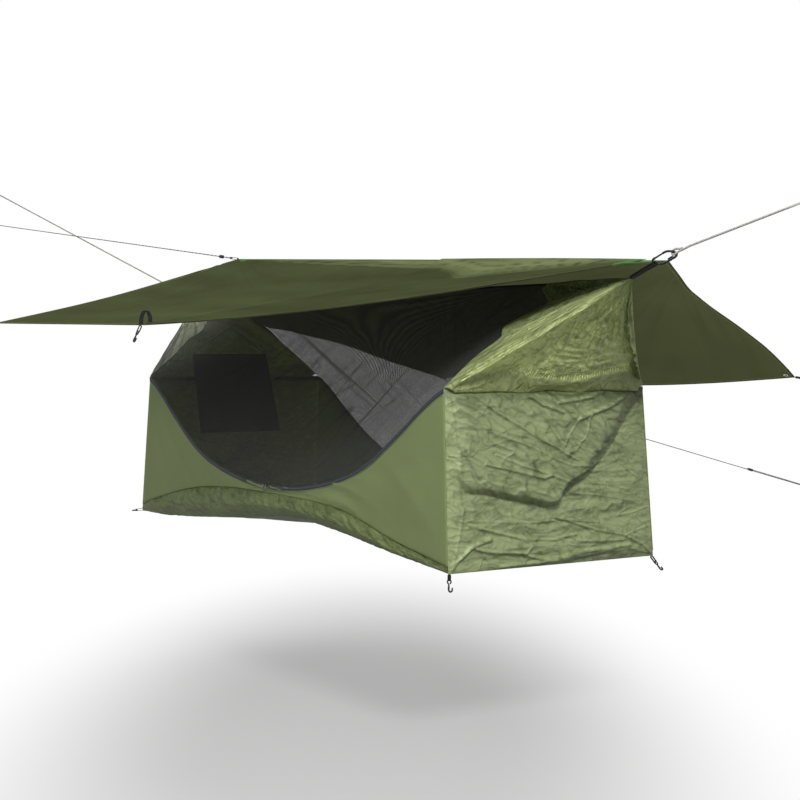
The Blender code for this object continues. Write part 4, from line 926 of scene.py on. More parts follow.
# Pad sleeve: the double floor, one tube of the walls' nylon round the pad. Its sides puff out
# over the pad's edges and pucker under the seam, where the walls draw them up.
def floor_height(share, y):
    """Height of the sleeve's lower face, which hangs lower along its middle than at its rim."""
    out = max(0.0, abs(y) / half_width(0) - 0.35) / 0.65
    return rim_height(share) * (0.4 + 0.6 * min(out, 1))


PAD_THICK, PAD_ROOM, PAD_WIDTH, PAD_LENGTH = 0.058, 0.0024, 0.640, 1.860


def sleeve_share(v):
    """From the tube's seam on top, round one side: the side it is on, and 0 to 9 round it."""
    around = v * 18
    return (-1, around) if around <= 9 else (1, 18 - around)


def sleeve_place(u, v):
    """A point of the tube: its top, shoulders, puffed sides and underside, in that order."""
    share = 2 * u - 1
    side, step = sleeve_share(v)
    seam, rim, wide = seam_height(share), rim_height(share), half_width(0)
    top = [floor_height(share, y * wide) + PAD_THICK + 2 * (CLOTH + PAD_ROOM) for y in (0, 0.45, 0.8)]
    shoulder = max(top[2], seam + 2 * CLOTH)
    bulge = 0.022 * max(math.cos(share * math.pi / 2), 0) ** 0.5
    edge = half_width(seam) - CLOTH - 2 * GAP
    foot = 0.985 * wide
    half = ((0, top[0]), (0.45 * wide, top[1]), (0.8 * wide, shoulder),
            (half_width(shoulder) - CLOTH - 2 * GAP, shoulder), (edge, seam - GAP), (0, 0), (foot, rim),
            *((out * wide, floor_height(share, out * wide)) for out in (0.7, 0.36, 0)))
    if 4 < step < 6:
        t = (step - 4) / 2
        y = edge + (foot - edge) * t + (wide + bulge - (edge + foot) / 2) * math.sin(math.pi * t)
        z = seam - GAP + (rim - seam + GAP) * t
    else:
        n = min(int(step), 8)
        (ya, za), (yb, zb) = half[n], half[n + 1]
        y, z = ya + (yb - ya) * (step - n), za + (zb - za) * (step - n)
    inner = half_length(z) - CLOTH - 2 * GAP
    return Vector((share * inner, side * y, z))


def sleeve_ripple(u, v):
    """Puckers below the seam, which die out toward the underside."""
    share = 2 * u - 1
    side, step = sleeve_share(v)
    free = min(max((step - 4.0) * 6, 0), 1) * (1 - share ** 10)
    down = step - 4
    seamward = math.exp(-max(down, 0) / 0.9) if step < 7 else 0.15
    pucker = ridged(share * 22 + down * 2.2 * side, down * 0.9, side * 3.0) * 0.0105
    small = ridged(share * 50 - down * 2.5, down * 1.8, side * 7.0) * 0.0055
    broad = noise.noise(Vector((share * 5, down * 0.7, side))) * 0.006
    return (pucker * seamward + small * seamward + broad * (0.4 if step > 6 else 1)) * free


def sleeve_fold(u, v):
    """Painted shade in the lines of the puckers and under the puffed side, and a faint painted highlight
    between the lines.
    """
    share = 2 * u - 1
    side, step = sleeve_share(v)
    down = step - 4
    upper = ramp(down, 0, 0.15) * (1 - ramp(down, 1.2, 2.2))
    lines = crease_line(share * 22 + down * 2.2 * side, down * 0.9, side * 3.0, 9)
    small = crease_line(share * 50 - down * 2.5, down * 1.8, side * 7.0, 9)
    return (lines + 0.8 * small - 0.35) * upper + 0.55 * ramp(down, 1.0, 1.9)


sleeve_olive = nylon_cloth("sleeve_olive", dye(118, 130, 86), dye(98, 110, 70), 0.55, 16.0, 0.0026,
                           crease_shade=0.30)[0]
sleeve = sewn_cloth("pad_sleeve_cloth", sleeve_place, 270, 180, (2.0, 1.75), None, sleeve_olive, CLOTH,
                    "pad_sleeve", ripple=sleeve_ripple, fold=sleeve_fold)

# The pad inside it: a self-inflating mat with lengthwise channels, in smooth grey polyester. It
# slides into the sleeve and gives the floor its flat shape.
pad_grey = nylon_cloth("pad_grey", dye(92, 96, 92), dye(80, 84, 80), 0.6, 30.0, 0.0004, 0.0012)[0]


def pad_place(u, v):
    """A point of the pad's skin: v goes round it, from below, over its channels, and back."""
    share = (2 * u - 1) * 0.995
    angle = math.pi * (2 * v - 1)
    taper = (1 - abs(share) ** 14) ** 0.5
    y = PAD_WIDTH / 2 * math.sin(angle) * (0.8 + 0.2 * taper)
    across = min(abs(y) / (PAD_WIDTH / 2), 1)
    crown = (1 - across ** 4) ** 0.5
    ripple = 0.004 * (abs(math.cos(across * 4 * math.pi)) - 1) * crown
    lift = (PAD_THICK / 2 + ripple) * crown * taper * (1 if math.cos(angle) >= 0 else -1)
    middle = floor_height(share, y) + CLOTH + PAD_ROOM + PAD_THICK / 2
    return Vector((share * PAD_LENGTH / 2, y, middle + lift))


bm = bmesh.new()
uv = bm.loops.layers.uv.verify()
bmesh.ops.create_grid(bm, x_segments=120, y_segments=144, size=0.5, calc_uvs=True)
for vert in bm.verts:
    vert.co = pad_place(vert.co.x + 0.5, vert.co.y + 0.5) - HANG
for face in bm.faces:
    for corner in face.loops:
        corner[uv].uv = (corner[uv].uv.x * PAD_LENGTH, corner[uv].uv.y * 1.35)
bmesh.ops.remove_doubles(bm, verts=bm.verts, dist=0.00003)
bmesh.ops.holes_fill(bm, edges=[edge for edge in bm.edges if edge.is_boundary], sides=0)
bmesh.ops.recalc_face_normals(bm, faces=bm.faces)
pad = hand_in("inflated_pad", bm, pad_grey, node="sleeping_pad")


# End walls: loose panels of the paler nylon. Their cloth bags over a slanting fold, is creased
# toward the corners, and its top hem is rolled round the spreader bar.
BAG_EDGE = ((-0.385, 0.330), (-0.353, 0.269), (-0.326, 0.224), (-0.249, 0.210), (-0.158, 0.190),
            (-0.086, 0.177), (-0.014, 0.166), (0.059, 0.211), (0.119, 0.240), (0.181, 0.289), (0.246, 0.353),
            (0.306, 0.427), (0.372, 0.490), (0.385, 0.505))
CREASES = (
    (0.0055, 0.0045, ((-0.298, 0.500), (-0.220, 0.450), (-0.140, 0.407), (-0.081, 0.373), (0.042, 0.316),
                      (0.087, 0.299))),
    (0.0050, 0.007, ((-0.118, 0.509), (-0.042, 0.462), (0.031, 0.439))),
    (0.0060, 0.006, ((-0.256, 0.298), (-0.180, 0.282), (-0.065, 0.254), (-0.031, 0.261))),
    (0.0040, 0.005, ((-0.216, 0.324), (-0.130, 0.291), (-0.031, 0.261), (0.031, 0.241), (0.066, 0.233))),
    (0.0035, 0.005, ((-0.197, 0.376), (-0.105, 0.347), (0.006, 0.300), (0.063, 0.284), (0.139, 0.281))),
    (0.0060, 0.008, ((0.016, 0.468), (0.109, 0.476), (0.212, 0.497))),
    (0.0080, 0.009, ((0.100, 0.420), (0.179, 0.441), (0.253, 0.465), (0.310, 0.492))),
    (0.0060, 0.009, ((-0.113, 0.507), (-0.006, 0.497), (0.075, 0.490), (0.183, 0.507))),
    (0.0030, 0.004, ((-0.312, 0.142), (-0.226, 0.135), (-0.095, 0.126), (-0.003, 0.128))),
    (0.0050, 0.006, ((-0.307, 0.129), (-0.217, 0.105), (-0.109, 0.079), (-0.007, 0.072), (0.080, 0.083))),
    (0.0055, 0.005, ((-0.003, 0.136), (0.042, 0.127), (0.171, 0.113))),
    (0.0050, 0.005, ((0.042, 0.125), (0.169, 0.088), (0.271, 0.069))),
    (0.0045, 0.005, ((0.256, 0.129), (0.312, 0.135), (0.369, 0.148))),
    (0.0050, 0.005, ((0.271, 0.071), (0.365, 0.091))),
    (0.0050, 0.006, ((0.079, 0.063), (0.258, 0.056))),
    (0.0080, 0.008, ((-0.371, 0.013), (-0.311, 0.068), (-0.235, 0.087))),
    (0.0060, 0.006, ((-0.311, 0.068), (-0.242, 0.051), (-0.111, 0.040), (-0.099, 0.054))),
    (0.0080, 0.010, ((-0.200, 0.006), (-0.068, 0.008), (-0.011, 0.015), (0.112, 0.031), (0.287, 0.038))),
    (0.0060, 0.007, ((-0.122, 0.036), (-0.022, 0.012), (0.076, 0.018), (0.214, 0.029))),
    (0.0020, 0.004, ((-0.098, 0.168), (-0.097, 0.128), (-0.111, 0.079), (-0.093, 0.049))),
    (0.0020, 0.004, ((-0.158, 0.188), (-0.158, 0.132), (-0.165, 0.092))),
    (0.0060, 0.007, ((-0.376, 0.022), (-0.338, 0.040), (-0.305, 0.072))),
    (0.0060, 0.006, ((0.378, 0.004), (0.337, 0.039), (0.271, 0.066))),
    (0.0050, 0.006, ((0.385, 0.004), (0.287, 0.029), (0.214, 0.025))),
    (0.0030, 0.008, ((-0.352, 0.500), (-0.342, 0.400), (-0.335, 0.340), (-0.336, 0.278))),
    (0.0030, 0.008, ((-0.330, 0.224), (-0.324, 0.183), (-0.332, 0.132), (-0.365, 0.029))),
    (0.0030, 0.004, ((0.060, 0.205), (0.190, 0.190), (0.300, 0.170))),
    (0.0030, 0.004, ((0.120, 0.232), (0.220, 0.222), (0.330, 0.190))),
    (0.0030, 0.004, ((0.215, 0.330), (0.280, 0.270), (0.330, 0.240))),
    (0.0040, 0.005, ((0.180, 0.292), (0.100, 0.262), (0.020, 0.236))),
    (0.0035, 0.004, ((0.105, 0.430), (0.060, 0.380), (0.030, 0.345))),
    (0.0035, 0.004, ((0.150, 0.440), (0.120, 0.370), (0.080, 0.330))),
)


def bag_distance(y, z):
    """How far a point of the panel is above the fold that the cloth bags over."""
    before = through(BAG_EDGE, y - 0.002)
    slope = (through(BAG_EDGE, y + 0.002) - before) / 0.004
    return (z - before - slope * 0.002) / math.sqrt(1 + slope * slope)


@functools.lru_cache(None)
def end_creases(y, z):
    """How far the pressed creases push a point of the panel out, and the painted shade and highlight beside
    them.
    """
    push, dark = 0.0, 0.0
    for depth, wide, line in CREASES:
        margin = wide * 3
        if not (min(p[0] for p in line) - margin < y < max(p[0] for p in line) + margin
                and min(p[1] for p in line) - margin < z < max(p[1] for p in line) + margin):
            continue
        nearest, below = 1.0, 0.0
        for (ya, za), (yb, zb) in zip(line, line[1:]):
            run, rise = yb - ya, zb - za
            t = min(max(((y - ya) * run + (z - za) * rise) / (run * run + rise * rise), 0), 1)
            off = math.hypot(y - ya - t * run, z - za - t * rise)
            if off < nearest:
                nearest = off
                below = off if (run * (z - za) - rise * (y - ya)) * math.copysign(1, run) < 0 else -off
        wide *= 0.7
        push += depth * 0.8 * bell(nearest, 0, wide)
        # Painted shade just below each crease, painted highlight just above it.
        dark += 165 * depth * bell(below, wide * 0.5, wide * 0.55)
        dark -= 70 * depth * bell(below, -wide * 0.8, wide * 0.6)
    return push, dark


end_green = nylon_cloth("end_green", dye(156, 167, 124), dye(142, 155, 112), 0.42, 14.0, 0.0042,
                        crease_shade=0.28)[0]
BAR_RADIUS = 0.0055
ROLL = BAR_RADIUS + 0.0006 + CLOTH
bar_z = BAR_HEIGHT - ROLL
for end, sign in ENDS:
    def end_spot(u, v):
        """Where a point of the flat panel is, across and up."""
        z = bar_z * v / 0.9
        return round((2 * u - 1) * half_width(z), 5), round(z, 5)

    def end_place(u, v, sign=sign):
        """A point of the panel, then of the hem that is rolled round the bar."""
        if v <= 0.9:
            y, z = end_spot(u, v)
            free = (math.sin(math.pi * u) ** 0.5) * min(1, (bar_z - z) / 0.02)
            over = ramp(bag_distance(y, z), 0, 0.024 + 0.022 * ramp(y, -0.02, 0.06)) * ramp(y, -0.385, -0.31)
            bag = 0.034 * over * (1 - 0.35 * max(0.0, (z - 0.2) / 0.3)) * (1 - 0.40 * ramp(y, -0.02, 0.08))
            tuck = 0.010 * bell(z, 0.060, 0.022)
            along, off = y * 0.88 - z * 0.47, y * 0.47 + z * 0.88
            high = ridged(along * 4.5, off * 14, sign) * 0.0075
            high += ridged(along * 14, off * 38, sign * 3) * 0.0040
            low = ridged(y * 4.5 + z * 3, z * 19, sign * 7) * 0.0060
            low += ridged(y * 14, z * 48, sign * 5) * 0.0030
            loose = low + (high - low) * over + ridged(y * 34 + z * 20, z * 52, sign * 8) * 0.0016
            floor = min(1, z / 0.012)
            x = half_length(z) + (bag + tuck + loose + 1.5 * end_creases(y, z)[0]) * free * floor
        else:
            angle = (v - 0.9) / 0.1 * math.radians(290)
            x = half_length(bar_z) - ROLL + ROLL * math.cos(angle)
            z = bar_z + ROLL * math.sin(angle)
        wide = half_width(z) - CLOTH - 2 * GAP
        return Vector((sign * x, (2 * u - 1) * wide, z))

    def end_fold(u, v, sign=sign):
        """The painted shade on the bag's turned-under face, in the creases, at the top and at the base, and a
        painted highlight down the near edge.
        """
        y, z = end_spot(u, min(v, 0.9))
        inside = bag_distance(y, z)
        right_arm = ramp(y, -0.02, 0.06)
        left = 0.30 * (1 - ramp(inside, 0.034, 0.038)) + 0.60 * (1 - ramp(inside, 0.004, 0.008))
        left -= 0.30 * bell(inside, 0.041, 0.004)
        right = 1 - ramp(inside, 0.004, 0.060)
        return_face = left + (right - left) * right_arm
        return_face = return_face * ramp(inside, -0.001, 0.002) * ramp(y, -0.36, -0.30)
        along, off = y * 0.88 - z * 0.47, y * 0.47 + z * 0.88
        if inside > 0:
            fine = 0.70 * crease_line(along * 14, off * 38, sign * 3, 12)
            broad = 0.65 * crease_line(along * 4.5, off * 14, sign, 18)
        else:
            fine = 0.60 * crease_line(y * 14, z * 48, sign * 5, 12)
            broad = 0.65 * crease_line(y * 4.5 + z * 3, z * 19, sign * 7, 18)
        # Painted shade under the hood's hem, deepest toward the far corner.
        corner = 0.75 * ramp(y, 0.10, 0.36) * ramp(z, 0.440, 0.500)
        top = 0.50 * ramp(z, 0.455, 0.495) + corner
        base = 0.40 * ramp(0.05 - z, 0.0, 0.045) * ramp(y, -0.3, 0.0)
        # Painted highlight down the panel's near edge, and a little darker over the bag.
        pale = -0.40 * (1 - ramp(y, -0.350, -0.325)) + 0.16 * ramp(inside, 0, 0.01) * ramp(y, -0.33, -0.30)
        return min(return_face + fine + broad + top + base + pale + end_creases(y, z)[1], 1.3)
    panel = sewn_cloth(f"{end}_panel", end_place, 250, 184, (0.755, 0.56), ALONG * sign, end_green, CLOTH,
                       f"{end}_end_wall", fold=end_fold)


# Spreader bars: hollow alloy tube in each rolled hem, with a moulded nylon tip pushed on each
# end. They hold the end walls and the floor out to their width.
TIP_LENGTH = 0.014
bar_alloy = metal_finish("bar_alloy", (0.045, 0.045, 0.05), 0.32)
bar_x = half_length(bar_z) - ROLL
tip_end = half_width(bar_z) - CLOTH - 3 * GAP
for end, sign in ENDS:
    half = tip_end - TIP_LENGTH
    route = [Vector((sign * bar_x, half * y, bar_z)) for y in (-1, -0.5, 0, 0.5, 1)]
    swept_rod(f"{end}_bar", route, BAR_RADIUS, bar_alloy, sides=24, node=f"{end}_spreader_bar")
    for label, side in SIDES:
        base = half + GAP
        route = [Vector((sign * bar_x, side * (base + along * (TIP_LENGTH - 2 * GAP)), bar_z))
                 for along in (0, 0.08, 0.5, 0.55, 0.9, 1)]
        swept_rod(f"{end}_tip_{label}", route, BAR_RADIUS, nylon, sides=20,
                  shares=(0.94, 1.0, 0.96, 0.88, 0.84, 0.74), node=f"{end}_bar_tip_{label}")


# Gable hoods: crumpled cones of the paler nylon from each apex to the net's end seams. Their
# elastic hem gathers them in a band of small puckers just above the spreader bar.
HOOD_HALF, RIDGE_HEIGHT = 0.3715, 0.815
HEM = ((0, 0), (0.05, 0.8), (0.12, 1), (0.25, 0.75), (0.43, 0.42), (0.6, 0.58), (0.7, 0.86), (0.8, 0.84),
       (1, 0))
SEAM_WAVE = ((0, 0), (0.27, 0), (0.42, 0.028), (0.5, 0.012), (0.58, -0.004), (0.62, 0.015), (0.72, 0.087),
             (0.85, 0.050), (0.95, 0), (1, 0))


def seam_shift(rise, side):
    """How far the slack seam of net and hood wanders toward the apex, up the slope.

    It lies tighter on the far side, where the low half of the fly leaves the door less room.
    """
    return through(SEAM_WAVE, rise) * (1.0 if side < 0 else 0.3)


def hood_edge(share, ruffle):
    """The hood's rim: up one net seam, down the other, and back along the front.

    The front is the gathered hem where ruffle is 1, and the cloth at the bar where it is 0.
    """
    seam_x, base, half = NET_END + GAP, BAR_HEIGHT + CLOTH + GAP, HOOD_HALF
    if share <= 0.5:
        along = 4 * share - 1
        rise = 1 - abs(along)
        edge = Vector((seam_x, along * half, base + (RIDGE_HEIGHT - base) * rise))
        return edge.lerp(apexes["head"], seam_shift(rise, along) / (apexes["head"].x - seam_x))
    along = (share - 0.5) * 2
    lap = min(along / 0.015, (1 - along) / 0.015, 1)
    low = 0.0150 + 0.006 * noise.noise(Vector((along * 7, 2, 5)))
    rise = 0.055 * through(HEM, along) * ruffle - low * lap * (1 - ruffle)
    out = 0.042 * max(math.sin(math.pi * along), 0) ** 0.5 * ruffle + 0.0100 * lap * (1 - ruffle)
    return Vector((seam_x + out, half * (1 - 2 * along), base + rise))


def hood_place(u, v, sign):
    """A hood face point: v runs from the apex to the elastic hem, then down to the bar."""
    row = v * 9
    front = min(max(min(u - 0.5, 1 - u) / 0.02, 0), 1)
    reach = row / 9 + (min(row / 8, 1) - row / 9) * front
    under = max(row - 8, 0) * front
    edge = hood_edge(u, 1).lerp(hood_edge(u, 0), under)
    point = apexes["head"].lerp(edge, HOOD_TIP + (1 - HOOD_TIP) * reach)
    if u > 0.5:
        arch = math.sin(math.pi * (u - 0.5) * 2) ** 0.7
        point += Vector((-0.6, 0, 0.8)) * 0.024 * math.sin(math.pi * min(reach, 1)) * arch
        point.x += 0.006 * math.sin(math.pi * under) * arch
    point.y -= 0.0126 * bell(u, 0.5, 0.06) * math.sin(math.pi * v)
    point.x *= sign
    return point


@functools.lru_cache(None)
def hood_creases(u, v, sign):
    """How far the hood's folds push it out at a point, and the painted shade and highlights on it there."""
    row = 9 * v
    reach = min(row / 8, 1)
    free = math.sin(math.pi * min(row / 8.6, 1)) ** 0.55 * min(reach * 4, 1) if row < 8.6 else 0
    warp = noise.noise(Vector((u * 6, reach * 3, sign * 2.0)))
    if u <= 0.5:
        fan = (u * 44 + warp * 0.8, reach * 0.9, sign * 4.0)
        near_line = bell(u, 0.006, 0.006)
        # Painted shade on the sides, deepest on the foot hood, where the fly's shadow falls.
        shaded = 1.45 if sign < 0 else 0.50
        lines = 0.80 * crease_line(*fan, 9) + 0.7 * near_line * ramp(reach, 0.1, 0.3)
        return ridged(*fan) * 0.0045 * free, lines * ramp(reach, 0.1, 0.4) + shaded
    t = (u - 0.5) * 2
    crumpled = 1 - 0.75 * ramp(t, 0.62, 0.86)
    fan = (t * 13 + warp * 1.4, reach * 1.3, sign)
    thin = (t * 30 + warp * 2.0, reach * 2.6, sign * 5)
    slant = (t * 11 + reach * 7, reach * 6 - t * 5, sign * 3)
    level_fold = (t * 2.6 + warp, reach * 17, sign * 9)
    low_right = (1 - ramp(t, 0.45, 0.75)) * ramp(reach, 0.62, 0.78)
    high_part = 1 - 0.8 * low_right
    push = (ridged(*fan) * 0.0095 + ridged(*thin) * 0.0050) * high_part * crumpled
    push += ridged(*slant) * 0.0050 * crumpled + ridged(*level_fold) * 0.0085 * low_right
    dark = (0.85 * crease_line(*fan, 9) + 0.85 * crease_line(*thin, 10)) * high_part * crumpled
    dark += 0.60 * crease_line(*slant, 13) * crumpled + 0.9 * crease_line(*level_fold, 10) * low_right
    doubled = 0.009 * bell(t, 0.966, 0.016) - 0.006 * bell(t, 0.925, 0.014)
    # Painted shade along the doubled fold, a painted highlight on its crest, painted shade on the far part of
    # the front, a painted highlight band before the fold, and painted light over the whole front.
    dark += 1.1 * bell(t, 0.942, 0.009) - 0.35 * bell(t, 0.970, 0.014)
    dark += 0.30 * (1 - ramp(t, 0.05, 0.45)) - 0.60 * ramp(t, 0.45, 0.80) * (1 - ramp(t, 0.90, 0.94)) - 0.62
    dark = dark * ramp(reach, 0.03, 0.15) * (1 - ramp(row, 7.4, 7.7))
    # Painted light at the hem: a highlight on the elastic band, a lighter patch at its far end, and shade
    # below it, deepest on the far side.
    patch = ramp(0.24 - t, 0, 0.02) * ramp(row, 7.5, 7.6) * (1 - ramp(row, 7.95, 8.0))
    below = ramp(row, 8.08, 8.22)
    band = ramp(row, 7.5, 7.6) * (1 - ramp(row, 8.0, 8.08))
    low_shade = 0.70 + 0.50 * (1 - ramp(t, 0.10, 0.45)) - 0.25 * ramp(row, 8.25, 8.6)
    dark += below * low_shade - 0.5 * patch - 0.75 * band
    hem = ridged(t * 35, 0.5, sign * 3) * 0.0026 * bell(row, 8, 0.5) * (u < 1)
    return (push + doubled) * free + hem, dark


def hem_band(u, v):
    """1 in the elastic hem of the hood's front, then 0."""
    return ramp(9 * v, 7.55, 7.65) * (1 - ramp(9 * v, 8.0, 8.1)) if 0.5 < u < 1 else 0.0


hood_green, tree, shader, relief, tint = nylon_cloth(
    "hood_green", dye(190, 201, 140), dye(172, 184, 122), 0.45, 16.0, 0.0042, crease_shade=0.42)
uv = wire(tree, "ShaderNodeTexCoord").outputs["UV"]
split = wire(tree, "ShaderNodeSeparateXYZ", Vector=uv).outputs
pleat = rows_of(tree, split["X"], 0.0130)
hem = wire(tree, "ShaderNodeAttribute", {"attribute_name": "mark"}).outputs["Fac"]
pleat = maths(tree, "MULTIPLY", pleat, hem)
relief = maths(tree, "MULTIPLY_ADD", pleat, 0.0015, relief)
bump(tree, shader, relief, 1.0, 1.0)
# Painted light on the hem: its pleats are striped lighter and darker, as they are raised in the bump.
lit = maths(tree, "MULTIPLY_ADD", pleat, 0.30, 1.0)
tint = tinted(tree, tint, lit)
tree.links.new(tint, shader.inputs["Base Color"])
for end, sign in ENDS:
    hood = sewn_cloth(f"{end}_hood_cloth", lambda u, v, s=sign: hood_place(u, v, s), 400, 108, (1.95, 0.47),
                      UP + ALONG * sign, hood_green, CLOTH, f"{end}_hood",
                      ripple=lambda u, v, s=sign: hood_creases(u, v, s)[0] if 0 < u < 1 else 0,
                      fold=lambda u, v, s=sign: hood_creases(u, v, s)[1],
                      mark=hem_band, cap=apexes[end])


# Insect net: two slopes of fine black mesh. Each is hung from the ridge and zipped to its
# wall, so it lifts as a door. A thin cord and a small toggle keep the ridge from stretching.
RIDGE_ROOM = 0.0023
net_black, tree, shader = new_finish("insect_net", dye(22, 22, 22), 0.8)
uv = wire(tree, "ShaderNodeTexCoord").outputs["UV"]
mesh_threads = wire(tree, "ShaderNodeGroup", {"node_tree": ripstop}, Vector=uv, Grid=0.0016,
                    Thread=0.20).outputs[0]
lines = wire(tree, "ShaderNodeAttribute", {"attribute_name": "mark"}).outputs["Fac"]
filled = maths(tree, "MAXIMUM", mesh_threads, lines)
tree.links.new(filled, shader.inputs["Alpha"])
dust = speckle(tree, uv, 60.0, 4.0)
tint = mixed(tree, dust, dye(15, 15, 15), dye(32, 32, 31))
tree.links.new(tint, shader.inputs["Base Color"])
bump(tree, shader, mesh_threads, 0.6, 0.0003)


def net_place(u, v, side):
    """A point of a slope, whose end seams wander with the hoods'."""
    end, clear = NET_END - CLOTH - GAP, NET_END - 2 * ROLL - 4 * GAP
    x = (2 * u - 1) * end
    wander = seam_shift(v, side) * ramp(abs(x) / end, 0.86, 1)
    if wander and abs(x) / end > 0.86:
        flat = net_flat(x, v, side, end, clear)
        apex = apexes["head" if x > 0 else "foot"] - UP * 3 * CLOTH
        return flat.lerp(apex, wander / (abs(apex.x) - end))
    return net_flat(x, v, side, end, clear)


def net_flat(x, v, side, end, clear):
    """The same slope with straight ends, from the zip up to the ridge, with its sag."""
    z = zip_height(min(abs(x), clear))
    z += (BAR_HEIGHT - z) * max(0.0, (abs(x) - clear) / (end - clear))
    foot = Vector((x, side * half_width(z + GAP + TAPE_THICK), z + GAP + TAPE_THICK))
    point = foot.lerp(Vector((x, side * RIDGE_ROOM, RIDGE_HEIGHT)), v)
    sag = 0.010 * math.sin(math.pi * v) * (1 - (x / end) ** 4)
    return point - Vector((0, side * 0.6, 0.8)) * sag


def net_lines(u, v, side):
    """Folds of the slack net, which show as darker lines where it lies double."""
    slope = (2 * u - 1) * 3.2 + v * 1.8 * side
    total = 0.0
    for along, across, seed, sharp, share in ((1.7, 0.6, 6.0, 44, 0.75), (0.9, -2.4, 11.0, 60, 0.6),
                                              (2.6, 1.6, 17.0, 48, 0.5), (4.4, -0.7, 23.0, 34, 0.35),
                                              (6.2, 0.8, 31.0, 24, 0.22)):
        total = max(total, share * crease_line(slope * along + v * across, v * 0.5, side * seed, sharp))
    return total * math.sin(math.pi * v) ** 0.5


for label, side in SIDES:
    net = sewn_cloth(f"{label}_net", lambda u, v, s=side: net_place(u, v, s), 320, 150, (1.91, 0.50),
                     Vector((0, side, 1)), net_black, 0, f"{label}_net_door", f"{label}_door",
                     ripple=lambda u, v, s=side: ridged(u * 5 + v * 3 * s, v * 2, s * 4.0) * 0.003
                     * math.sin(math.pi * v) * math.sin(math.pi * u),
                     mark=lambda u, v, s=side: net_lines(u, v, s))

RIDGE_CORD_RADIUS, TOGGLE_RADIUS = 0.0020, 0.0045
black_cord = cord_finish("black_cord", (0.018, 0.018, 0.019), (0.03, 0.03, 0.032), 0.004, 0.01)
drop = (CLOTH + RIDGE_CORD_RADIUS) / math.sin(math.atan(HOOD_HALF / (RIDGE_HEIGHT - BAR_HEIGHT)))
cord_z = RIDGE_HEIGHT - drop - 2 * GAP
reach = APEX_REACH - 0.028
swept_rod("ridge_line_cord", [Vector((reach * x / 8, 0, cord_z)) for x in range(-8, 9)], RIDGE_CORD_RADIUS,
          black_cord, node="ridge_cord")
toggle_white = nylon_cloth("toggle_white", dye(206, 206, 200), dye(186, 186, 180), 0.4, 60.0, 0.0001,
                           0.002)[0]
toggle_z = cord_z - RIDGE_CORD_RADIUS - GAP - TOGGLE_RADIUS
route = [Vector((0.992 + along * 0.013, 0, toggle_z)) for along in (-1, -0.93, -0.6, -0.2, 0.2, 0.6, 0.93, 1)]
swept_rod("ridge_toggle_barrel", route, TOGGLE_RADIUS, toggle_white, sides=20,
          shares=(0.72, 0.94, 1.0, 0.9, 0.9, 1.0, 0.94, 0.72), node="ridge_toggle")


# Pocket: a black mesh organiser that hangs inside the foot end by a thin cord, with a bound
# top edge and a slack, slightly baggy front.
pocket_black, tree, shader = new_finish("pocket_mesh", dye(24, 24, 24), 0.75)
uv = wire(tree, "ShaderNodeTexCoord").outputs["UV"]
weave = wire(tree, "ShaderNodeGroup", {"node_tree": ripstop}, Vector=uv, Grid=0.0024, Thread=0.2).outputs[0]
split = wire(tree, "ShaderNodeSeparateXYZ", Vector=uv).outputs
bound = ranged(tree, split["Y"], 0.293, 0.2935)
solid = maths(tree, "MAXIMUM", weave, bound)
tint = mixed(tree, solid, dye(14, 14, 14), dye(40, 40, 40))
tree.links.new(tint, shader.inputs["Base Color"])
bump(tree, shader, solid, 0.8, 0.0004)
POCKET_THICK, POCKET_FOOT, POCKET_TALL, POCKET_CORD = 0.003, 0.295, 0.305, 0.0010
pocket_x = half_length(bar_z) - 2 * ROLL - POCKET_THICK - GAP


def pocket_place(u, v):
    """A point of the pocket, from its slack foot up to the bound edge."""
    half = 0.176 - 0.016 * v
    bow = POCKET_THICK * 2 * math.sin(math.pi * u) * (1 - v)
    wave = 0.0015 * math.sin(u * 19) * math.sin(math.pi * v)
    across = 0.010 - 0.050 * v + half * (2 * u - 1)
    return Vector((-pocket_x + bow + wave, across, POCKET_FOOT + POCKET_TALL * v))


pocket = sewn_cloth("mesh_pocket", pocket_place, 60, 60, (0.35, POCKET_TALL), ALONG, pocket_black,
                    POCKET_THICK, "foot_pocket")
hem = POCKET_FOOT + POCKET_TALL + POCKET_CORD + GAP
route = [Vector((-pocket_x - POCKET_THICK / 2, -0.040 + 0.157 * y, hem + 0.100 * (1 - abs(y) ** 1.1)))
         for y in (-1, -0.5, -0.12, 0, 0.12, 0.5, 1)]
route = smooth_route(route, 31)
hanger = swept_rod("pocket_hanger", route, POCKET_CORD, guy_grey, sides=8, node="pocket_cord")


# Rain fly: one sheet of darker coated nylon over its ridge. It slumps a little below the ridge
# line, its folds fan out from the head tab, and its edges are bound with tape.
def slumped(x, y):
    """How far the cloth hangs below the straight ridge and edge, on the near side."""
    if x < FLY_NEAR_MID.x:
        t = (x - FLY_NEAR_FOOT.x) / (FLY_NEAR_MID.x - FLY_NEAR_FOOT.x)
        edge = FLY_NEAR_FOOT.y + (FLY_NEAR_MID.y - FLY_NEAR_FOOT.y) * t
    else:
        t = min((x - FLY_NEAR_MID.x) / (FLY_FOLD_END.x - FLY_NEAR_MID.x), 1)
        edge = FLY_NEAR_MID.y + (FLY_FOLD_END.y - FLY_NEAR_MID.y) * t
    out = min(max(y / min(edge, -0.03), 0), 1)
    ends = min(max((x + 0.95) / 0.35, 0), 1) * min(max((FLY_HEAD.x - x) / 0.25, 0), 1)
    return 0.055 * abs(edge) ** 0.7 * (1 - math.exp(-out / 0.12)) * (1 - out) * ends


